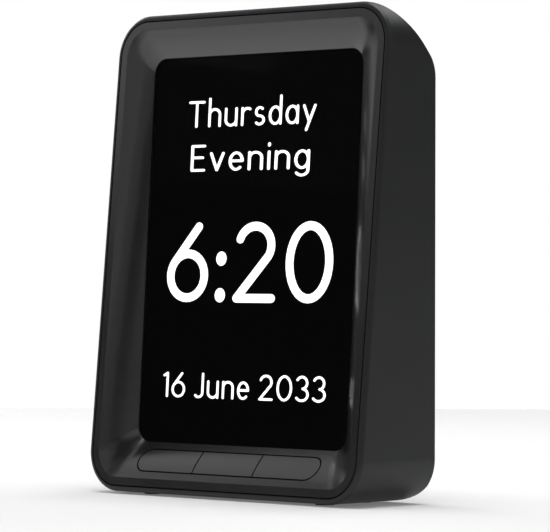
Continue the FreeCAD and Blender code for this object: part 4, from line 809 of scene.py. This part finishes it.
# The loudspeaker, which stands where its node stands: the radii of its rings as shares of its
# own, and its heights below or above its face.
SPEAKER_LOW, SPEAKER_HIGH = (Vector(corner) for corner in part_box("loudspeaker"))
SPEAKER_MIDDLE = (SPEAKER_LOW + SPEAKER_HIGH) / 2
SPEAKER_RADIUS = (SPEAKER_HIGH.z - SPEAKER_LOW.z) / 2
ROLL_OUTSIDE = 0.84
ROLL_INSIDE = 0.62
CONE_BEND = 0.5
CAP_RADIUS = 0.3
FACE_CHAMFER = 0.4 * MM
ROLL_FOOT = 0.2 * MM
ROLL_RISE = 1.1 * MM
BEND_SINK = 1.3 * MM
CAP_SINK = 2.6 * MM
CAP_RISE = 1.5 * MM
SPEAKER_SHEET = 1.4 * MM
MAGNET_HEIGHT = 3.6 * MM
MAGNET_RADIUS = 9.0 * MM
MAGNET_CHAMFER = 0.3 * MM
BASKET_RADIUS = 11.0 * MM
EAR_RADIUS = 3.6 * MM
EAR_HOLE = 1.45 * MM
EAR_ROOT = 6.5 * MM
# how far below the face the faces of the surround and of the cone are looked for
ROLL_REACH = 0.3 * MM
CONE_REACH = 3.0 * MM
# points of a full turn, of an ear's turn, of the surround's half turn and of the cap's quarter turn
TURN_STEPS = 32
EAR_STEPS = 24
ROLL_STEPS = 8
CAP_STEPS = 6
TURNED_SHARP_ANGLE = math.radians(35)


def spot(centre, radius, turn, y):
    """A place at a radius and an angle from an axis along Y through centre."""
    return centre.x + radius * math.cos(turn), y, centre.z + radius * math.sin(turn)


def lathe(shape, profile, centre):
    """Turn (radius, y) points about an axis along Y through centre. A zero radius is a pole."""
    rings = []
    for radius, y in profile:
        if radius == 0:
            rings.append([shape.verts.new((centre.x, y, centre.z))])
            continue
        turns = [2 * math.pi * step / TURN_STEPS for step in range(TURN_STEPS)]
        rings.append([shape.verts.new(spot(centre, radius, turn, y)) for turn in turns])
    for first, second in zip(rings, rings[1:]):
        for step in range(TURN_STEPS):
            after = (step + 1) % TURN_STEPS
            corners = {
                first[step % len(first)]: None,
                first[after % len(first)]: None,
                second[after % len(second)]: None,
                second[step % len(second)]: None,
            }
            if len(corners) > 2:
                shape.faces.new(list(corners))


def recessed_head(shape, centre, radius, face_y):
    """The flat of a screw head with its cross recess. Its rim has the corners of the turned head."""
    arm, reach = ARM_HALF * radius, ARM_REACH * radius
    depth = RECESS_DEPTH * radius
    upper, lower = [], []
    for quarter in range(4):
        turn = Matrix.Rotation(quarter * math.pi / 2, 2)
        for across, up in ((reach, 0), (reach, arm), (arm, arm), (arm, reach)):
            top = turn @ Vector((across, up))
            upper.append(shape.verts.new((centre.x + top.x, face_y, centre.z + top.y)))
            low = RECESS_TAPER * top
            lower.append(shape.verts.new((centre.x + low.x, face_y - depth, centre.z + low.y)))
    count = len(upper)
    for index in range(count):
        after = (index + 1) % count
        shape.faces.new((upper[index], upper[after], lower[after], lower[index]))
    shape.faces.new(lower)
    quarter_steps = TURN_STEPS // 4
    for quarter in range(4):
        rim = []
        for step in range(quarter_steps + 1):
            turn = math.pi / 2 * (quarter + step / quarter_steps)
            rim.append(shape.verts.new(spot(centre, radius, turn, face_y)))
        inner = [upper[(quarter * 4 + offset) % count] for offset in (4, 3, 2, 1, 0)]
        shape.faces.new([*rim, *inner])


def extent(numbers):
    """The middle of some numbers' range, and half its length."""
    low, high = min(numbers), max(numbers)
    return (low + high) / 2, (high - low) / 2


def screw_mesh(name, node, head_height):
    """Screws with a cross recess and a thread, one in place of each plain screw of a node."""
    corners = [Vector(v.co) for v in frame["nodes"][node].data.vertices]
    low, high = (Vector(corner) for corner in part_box(node))
    middle = (low + high) / 2
    face, seat = high.y, high.y - head_height
    shape = bmesh.new()
    for left, lower in ((True, True), (True, False), (False, True), (False, False)):
        own = [p for p in corners if (p.x < middle.x) == left and (p.z < middle.z) == lower]
        x, radius = extent([p.x for p in own])
        z, _ = extent([p.z for p in own])
        centre = Vector((x, 0, z))
        shank = max(abs(p.x - x) for p in own if p.y < seat - ON_FACE)
        flat = HEAD_FLAT * radius
        profile = [(flat, face)]
        profile += [(share * radius, face - drop * head_height) for share, drop in HEAD_ROUNDING]
        profile += [(radius, seat), (shank, seat)]
        for turn in range(int((seat - low.y - 2 * THREAD_PITCH) / THREAD_PITCH)):
            crest = seat - (turn + 1) * THREAD_PITCH
            profile += [(shank - THREAD_DEPTH, crest + THREAD_PITCH / 2), (shank, crest)]
        profile += [(POINT_FLAT * shank, low.y), (0, low.y)]
        lathe(shape, profile, centre)
        recessed_head(shape, centre, flat, face)
    return finished_mesh(name, shape, TURNED_SHARP_ANGLE)


def speaker_mesh(name):
    """Sheet frame with two ears, half-round surround, sunk cone, dust cap, basket and magnet."""
    outer, back, face = SPEAKER_RADIUS, SPEAKER_LOW.y, SPEAKER_HIGH.y
    profile = [(outer, face - SPEAKER_SHEET), (outer, face)]
    profile += [(ROLL_OUTSIDE * outer + FACE_CHAMFER, face), (ROLL_OUTSIDE * outer, face - ROLL_FOOT)]
    half = (ROLL_OUTSIDE - ROLL_INSIDE) * outer / 2
    for step in range(1, ROLL_STEPS):
        turn = math.pi * step / ROLL_STEPS
        radius = ROLL_OUTSIDE * outer - half + half * math.cos(turn)
        profile.append((radius, face - ROLL_FOOT + ROLL_RISE * math.sin(turn)))
    profile += [(ROLL_INSIDE * outer, face - ROLL_FOOT), (CONE_BEND * outer, face - BEND_SINK)]
    for step in range(CAP_STEPS):
        turn = math.pi / 2 * step / CAP_STEPS
        radius = CAP_RADIUS * outer * math.cos(turn)
        profile.append((radius, face - CAP_SINK + CAP_RISE * math.sin(turn)))
    profile.append((0, face - CAP_SINK + CAP_RISE))
    shape = bmesh.new()
    lathe(shape, profile, SPEAKER_MIDDLE)

    basket = back + MAGNET_HEIGHT
    rear = [(outer, face - SPEAKER_SHEET), (outer - SPEAKER_SHEET, face - SPEAKER_SHEET)]
    rear += [(BASKET_RADIUS, basket), (MAGNET_RADIUS, basket), (MAGNET_RADIUS, back + MAGNET_CHAMFER)]
    rear += [(MAGNET_RADIUS - MAGNET_CHAMFER, back), (0, back)]
    lathe(shape, rear, SPEAKER_MIDDLE)
    reach = (SPEAKER_HIGH.x - SPEAKER_LOW.x) / 2 - EAR_RADIUS
    for side in (-1, 1):
        ear(shape, SPEAKER_MIDDLE + Vector((side * reach, 0, 0)), side, face)
    return finished_mesh(name, shape, TURNED_SHARP_ANGLE)


def ear(shape, hole, side, face):
    """A fixing ear: a tab with a round end and a hole, as thick as the sheet frame."""
    loops = []
    for y in (face, face - SPEAKER_SHEET):
        rim, bore = [], []
        for step in range(EAR_STEPS):
            turn = 2 * math.pi * step / EAR_STEPS
            along, up = math.cos(turn), math.sin(turn)
            reach = EAR_RADIUS
            if along < 0:
                reach /= max(abs(up), abs(along) * EAR_RADIUS / EAR_ROOT)
            for corners, far in ((rim, reach), (bore, EAR_HOLE)):
                corners.append(shape.verts.new((hole.x + side * far * along, y, hole.z + far * up)))
        loops.append((rim, bore))
    (rim, bore), (rim_back, bore_back) = loops
    for step in range(EAR_STEPS):
        after = (step + 1) % EAR_STEPS
        shape.faces.new((rim[step], rim[after], bore[after], bore[step]))
        shape.faces.new((rim_back[step], bore_back[step], bore_back[after], rim_back[after]))
        shape.faces.new((rim[step], rim_back[step], rim_back[after], rim[after]))
        shape.faces.new((bore[step], bore[after], bore_back[after], bore_back[step]))


def paint_speaker(speaker, cone, surround):
    """Give the cone with its dust cap, and the surround, their own materials."""
    speaker.data.materials.append(cone)
    speaker.data.materials.append(surround)
    for face in speaker.data.polygons:
        across, _, up = face.center - SPEAKER_MIDDLE
        share = math.hypot(across, up) / SPEAKER_RADIUS
        sunk = SPEAKER_HIGH.y - face.center.y
        if sunk < CONE_REACH and share < ROLL_INSIDE:
            face.material_index = 1
        elif sunk < ROLL_REACH and share < ROLL_OUTSIDE:
            face.material_index = 2


class DAYCLOCK_OT_make_hardware(bpy.types.Operator):
    """Make the housing screws and the loudspeaker, and give the other screws their finish"""

    bl_idname = "day_clock.make_hardware"
    bl_label = "Screws and loudspeaker"

    def execute(self, context):
        zinc = plated_metal("screw_steel", (0.6, 0.6, 0.62), 0.35, marks=SATIN)
        black = plated_metal("black_screw", (0.08, 0.08, 0.084), 0.38, marks=SATIN)
        for node in ("bracket_screws", "board_screws", "speaker_screws", "key_board_screws"):
            dress(node, zinc)
        dress("speaker_gasket", soft_rubber("speaker_foam", (0.004, 0.004, 0.004)))

        screws = screw_mesh("recessed_housing_screws", "housing_screws", CASE_HEAD_HEIGHT)
        item = new_piece("recessed_housing_screws", screws, black, CLOCK)
        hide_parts("housing_screws")

        metal = plated_metal("speaker_metal", (0.16, 0.16, 0.165), 0.42)
        mesh = speaker_mesh("loudspeaker_unit")
        speaker = new_piece("loudspeaker_unit", mesh, metal, CLOCK)
        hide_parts("loudspeaker")
        cone = moulded_plastic("cone_paper", (0.02, 0.02, 0.021), 0.8, grain=1500.0, depth=0.03 * MM)
        paint_speaker(speaker, cone, soft_rubber("surround_rubber", (0.008, 0.008, 0.008)))
        return {"FINISHED"}


# ---------------------------------------------------------------- stage


# the camera: how it is turned, tilted down and rolled, and its place
VIEW_YAW = math.radians(43.9)
VIEW_PITCH = math.radians(-0.08)
VIEW_ROLL = math.radians(0.11)
VIEW_PLACE = Vector((1.02308, -1.05186, 0.09513))
SENSOR_WIDTH = 36.0
CLIP_NEAR = 0.05
CLIP_FAR = 50.0
# how squarely a mirrored ray has to point at the backdrop: where it starts to show, and is full
BACKDROP_EDGE = (0.72, 0.9)
# each softbox's name, place, side and power in watts, and the point that all of them face
LIGHT_TARGET = Vector((0, 0, 0.1))
SOFTBOXES = (
    ("top_softbox", (0, 0, 1.6), 1.2, 23.5),
    ("back_softbox", (0, 1.2, 1.3), 1.0, 6.5),
    ("left_softbox", (-1.1, -0.2, 1.2), 0.9, 1.35),
    ("wide_left_softbox", (-1.4, 0.1, 0.8), 1.0, 1.0),
    ("left_edge_softbox", (-1.3, 0.25, 0.7), 0.5, 4.5),
    ("low_left_softbox", (-1.6, -0.5, 0.35), 0.5, 0.42),
    ("wide_front_left_softbox", (-1.3, -1.3, 1.0), 1.4, 0.95),
    ("high_front_left_softbox", (-1.5, -1.0, 0.95), 0.5, 0.32),
    ("low_front_left_softbox", (-1.45, -1.15, 0.7), 0.5, 0.5),
    ("front_softbox", (-0.4, -1.8, 0.7), 1.2, 1.62),
    ("low_front_softbox", (0.35, -1.6, 0.5), 0.6, 0.31),
    ("front_right_softbox", (1.3, -1.0, 1.2), 1.4, 3.1),
    ("low_front_right_softbox", (1.35, -1.2, 0.45), 0.5, 0.19),
    ("right_softbox", (1.5, 0.5, 1.0), 1.4, 3.6),
)
FLOOR_HALF_WIDTH = 3.0
FLOOR_LENGTH = 3.6
FLOOR_GREY = 0.85
# how much of plain white the floor shows near the clock
FLOOR_GLOW = 0.15
# how far from the clock the floor starts to turn plain white, and how far off it is white
FLOOR_FADE = (0.8, 1.5)
# how grey the air is where it isn't shown as white
WORLD_FILL = 0.01


def view_directions():
    """The camera's forward, right and upward directions."""
    forward = Vector(
        (
            -math.sin(VIEW_YAW) * math.cos(VIEW_PITCH),
            math.cos(VIEW_YAW) * math.cos(VIEW_PITCH),
            -math.sin(VIEW_PITCH),
        )
    )
    level = Vector((math.cos(VIEW_YAW), math.sin(VIEW_YAW), 0))
    above = level.cross(forward)
    right = math.cos(VIEW_ROLL) * level + math.sin(VIEW_ROLL) * above
    return forward, right, right.cross(forward)


def calculate(tree, operation, first, second):
    """A Math node of two signals, or of a signal and a number."""
    node = tree.nodes.new("ShaderNodeMath")
    node.operation = operation
    for socket, value in zip(node.inputs, (first, second)):
        if isinstance(value, (int, float)):
            socket.default_value = value
        else:
            tree.links.new(value, socket)
    return node.outputs["Value"]


def ray_kinds(tree):
    """Whether a ray comes from the camera, and whether it comes from gloss or through glass."""
    rays = tree.nodes.new("ShaderNodeLightPath").outputs
    sharp = calculate(tree, "MAXIMUM", rays["Is Glossy Ray"], rays["Is Transmission Ray"])
    return rays["Is Camera Ray"], sharp


def pale_floor(name):
    """The floor: lit like matt paint, nearer to plain white where it is looked at, white far off."""
    recipe = Recipe(name, (FLOOR_GREY,) * 3, 0.9)
    recipe.set(Specular_IOR_Level=0.0)
    recipe.relief(recipe.noise(300.0), 0.05, 0.02 * MM)
    seen = calculate(recipe.tree, "MAXIMUM", *ray_kinds(recipe.tree))
    glow = recipe.add("ShaderNodeEmission", Color=(1, 1, 1, 1), Strength=1.0)
    mix = recipe.add("ShaderNodeMixShader")
    distance = recipe.add("ShaderNodeVectorMath")
    distance.operation = "LENGTH"
    recipe.link(recipe.place, distance.inputs[0])
    start, full = FLOOR_FADE
    fade = recipe.add("ShaderNodeMapRange", From_Min=start, From_Max=full, To_Min=FLOOR_GLOW)
    recipe.link(distance.outputs["Value"], fade.inputs["Value"])
    recipe.link(calculate(recipe.tree, "MULTIPLY", seen, fade.outputs["Result"]), mix.inputs["Fac"])
    recipe.link(recipe.shader.outputs["BSDF"], mix.inputs[1])
    recipe.link(glow.outputs["Emission"], mix.inputs[2])
    recipe.link(mix.outputs["Shader"], recipe.tree.nodes["Material Output"].inputs["Surface"])
    return recipe.material


def studio_world(name, behind):
    """White to look at. What gloss and glass show of it is a backdrop in one direction, behind."""
    world = bpy.data.worlds.new(name)
    world.use_nodes = True
    tree = world.node_tree
    looked_at, sharp = ray_kinds(tree)
    towards = tree.nodes.new("ShaderNodeVectorMath")
    towards.operation = "DOT_PRODUCT"
    towards.inputs[1].default_value = behind
    tree.links.new(tree.nodes.new("ShaderNodeTexCoord").outputs["Generated"], towards.inputs[0])
    edge = tree.nodes.new("ShaderNodeMapRange")
    edge.interpolation_type = "SMOOTHSTEP"
    edge.inputs["From Min"].default_value, edge.inputs["From Max"].default_value = BACKDROP_EDGE
    tree.links.new(towards.outputs["Value"], edge.inputs["Value"])
    mirrored = calculate(tree, "MULTIPLY", sharp, edge.outputs["Result"])
    air = tree.nodes["Background"]
    air.inputs["Color"].default_value = (WORLD_FILL, WORLD_FILL, WORLD_FILL, 1)
    white = tree.nodes.new("ShaderNodeBackground")
    white.inputs["Color"].default_value = (1, 1, 1, 1)
    mix = tree.nodes.new("ShaderNodeMixShader")
    seen = calculate(tree, "MAXIMUM", looked_at, mirrored)
    tree.links.new(seen, mix.inputs["Fac"])
    tree.links.new(air.outputs["Background"], mix.inputs[1])
    tree.links.new(white.outputs["Background"], mix.inputs[2])
    tree.links.new(mix.outputs["Shader"], tree.nodes["World Output"].inputs["Surface"])
    return world


def stage_plane(name, corners, material):
    """A flat four-cornered piece of the stage."""
    mesh = bpy.data.meshes.new(name)
    mesh.from_pydata([tuple(corner) for corner in corners], [], [tuple(range(len(corners)))])
    mesh.materials.append(material)
    item = bpy.data.objects.new(name, mesh)
    bpy.context.scene.collection.objects.link(item)
    return item


def soft_light(name, place, size, power):
    """A square softbox that faces the clock."""
    data = bpy.data.lights.new(name, "AREA")
    data.size = size
    data.energy = power
    lamp = bpy.data.objects.new(name, data)
    lamp.location = place
    aim = LIGHT_TARGET - Vector(place)
    lamp.rotation_euler = aim.to_track_quat("-Z", "Y").to_euler()
    lamp.visible_camera = False
    bpy.context.scene.collection.objects.link(lamp)
    return lamp


class DAYCLOCK_OT_set_stage(bpy.types.Operator):
    """Make the floor, the softboxes, the world and the camera"""

    bl_idname = "day_clock.set_stage"
    bl_label = "Stage"

    def execute(self, context):
        scene = context.scene
        look = scene.day_clock_stage
        forward, right, above = view_directions()
        level_forward = Vector((forward.x, forward.y, 0)).normalized()
        level_right = Vector((right.x, right.y, 0)).normalized()
        far = Vector((VIEW_PLACE.x, VIEW_PLACE.y, 0)) + level_forward * look.floor_reach
        near = far - level_forward * FLOOR_LENGTH
        side = level_right * FLOOR_HALF_WIDTH
        stage_plane("floor", (far - side, far + side, near + side, near - side), pale_floor("floor_white"))
        for name, place, size, power in SOFTBOXES:
            soft_light(name, place, size, power)
        scene.world = studio_world("studio_air", level_forward)

        data = bpy.data.cameras.new("view_camera")
        data.lens = look.focal_length
        data.sensor_width = SENSOR_WIDTH
        data.sensor_fit = "HORIZONTAL"
        data.clip_start = CLIP_NEAR
        data.clip_end = CLIP_FAR
        camera = bpy.data.objects.new("view_camera", data)
        turn = Matrix((right, above, -forward)).transposed()
        camera.matrix_world = Matrix.Translation(VIEW_PLACE) @ turn.to_4x4()
        scene.collection.objects.link(camera)
        scene.camera = camera
        scene.view_settings.view_transform = "Standard"
        return {"FINISHED"}


# ---------------------------------------------------------------- add-on


class DAYCLOCK_PT_panel(bpy.types.Panel):
    """Lists the steps that dress the clock"""

    bl_idname = "DAYCLOCK_PT_panel"
    bl_label = "Day Clock"
    bl_space_type = "VIEW_3D"
    bl_region_type = "UI"
    bl_category = "Day Clock"

    def draw(self, context):
        for operator in STEPS:
            self.layout.operator(operator.bl_idname)


STEPS = (
    DAYCLOCK_OT_dress_housing,
    DAYCLOCK_OT_dress_front,
    DAYCLOCK_OT_fit_shade_beads,
    DAYCLOCK_OT_dress_display,
    DAYCLOCK_OT_letter_display,
    DAYCLOCK_OT_dress_electronics,
    DAYCLOCK_OT_make_hardware,
    DAYCLOCK_OT_set_stage,
)
GROUPS = (HousingSettings, DisplaySettings, StageSettings)


def register():
    for item in (*GROUPS, *STEPS, DAYCLOCK_PT_panel):
        bpy.utils.register_class(item)
    bpy.types.Scene.day_clock_housing = PointerProperty(type=HousingSettings)
    bpy.types.Scene.day_clock_display = PointerProperty(type=DisplaySettings)
    bpy.types.Scene.day_clock_stage = PointerProperty(type=StageSettings)


def unregister():
    del bpy.types.Scene.day_clock_stage
    del bpy.types.Scene.day_clock_display
    del bpy.types.Scene.day_clock_housing
    for item in reversed((*GROUPS, *STEPS, DAYCLOCK_PT_panel)):
        bpy.utils.unregister_class(item)


def main():
    register()
    bpy.ops.day_clock.set_stage()
    bpy.ops.day_clock.dress_housing()
    bpy.ops.day_clock.dress_front()
    bpy.ops.day_clock.fit_seals()
    bpy.ops.day_clock.dress_display()
    bpy.ops.day_clock.letter_display()
    bpy.ops.day_clock.dress_electronics()
    bpy.ops.day_clock.make_hardware()
    bpy.context.view_layer.update()


if __name__ == "__main__":
    main()
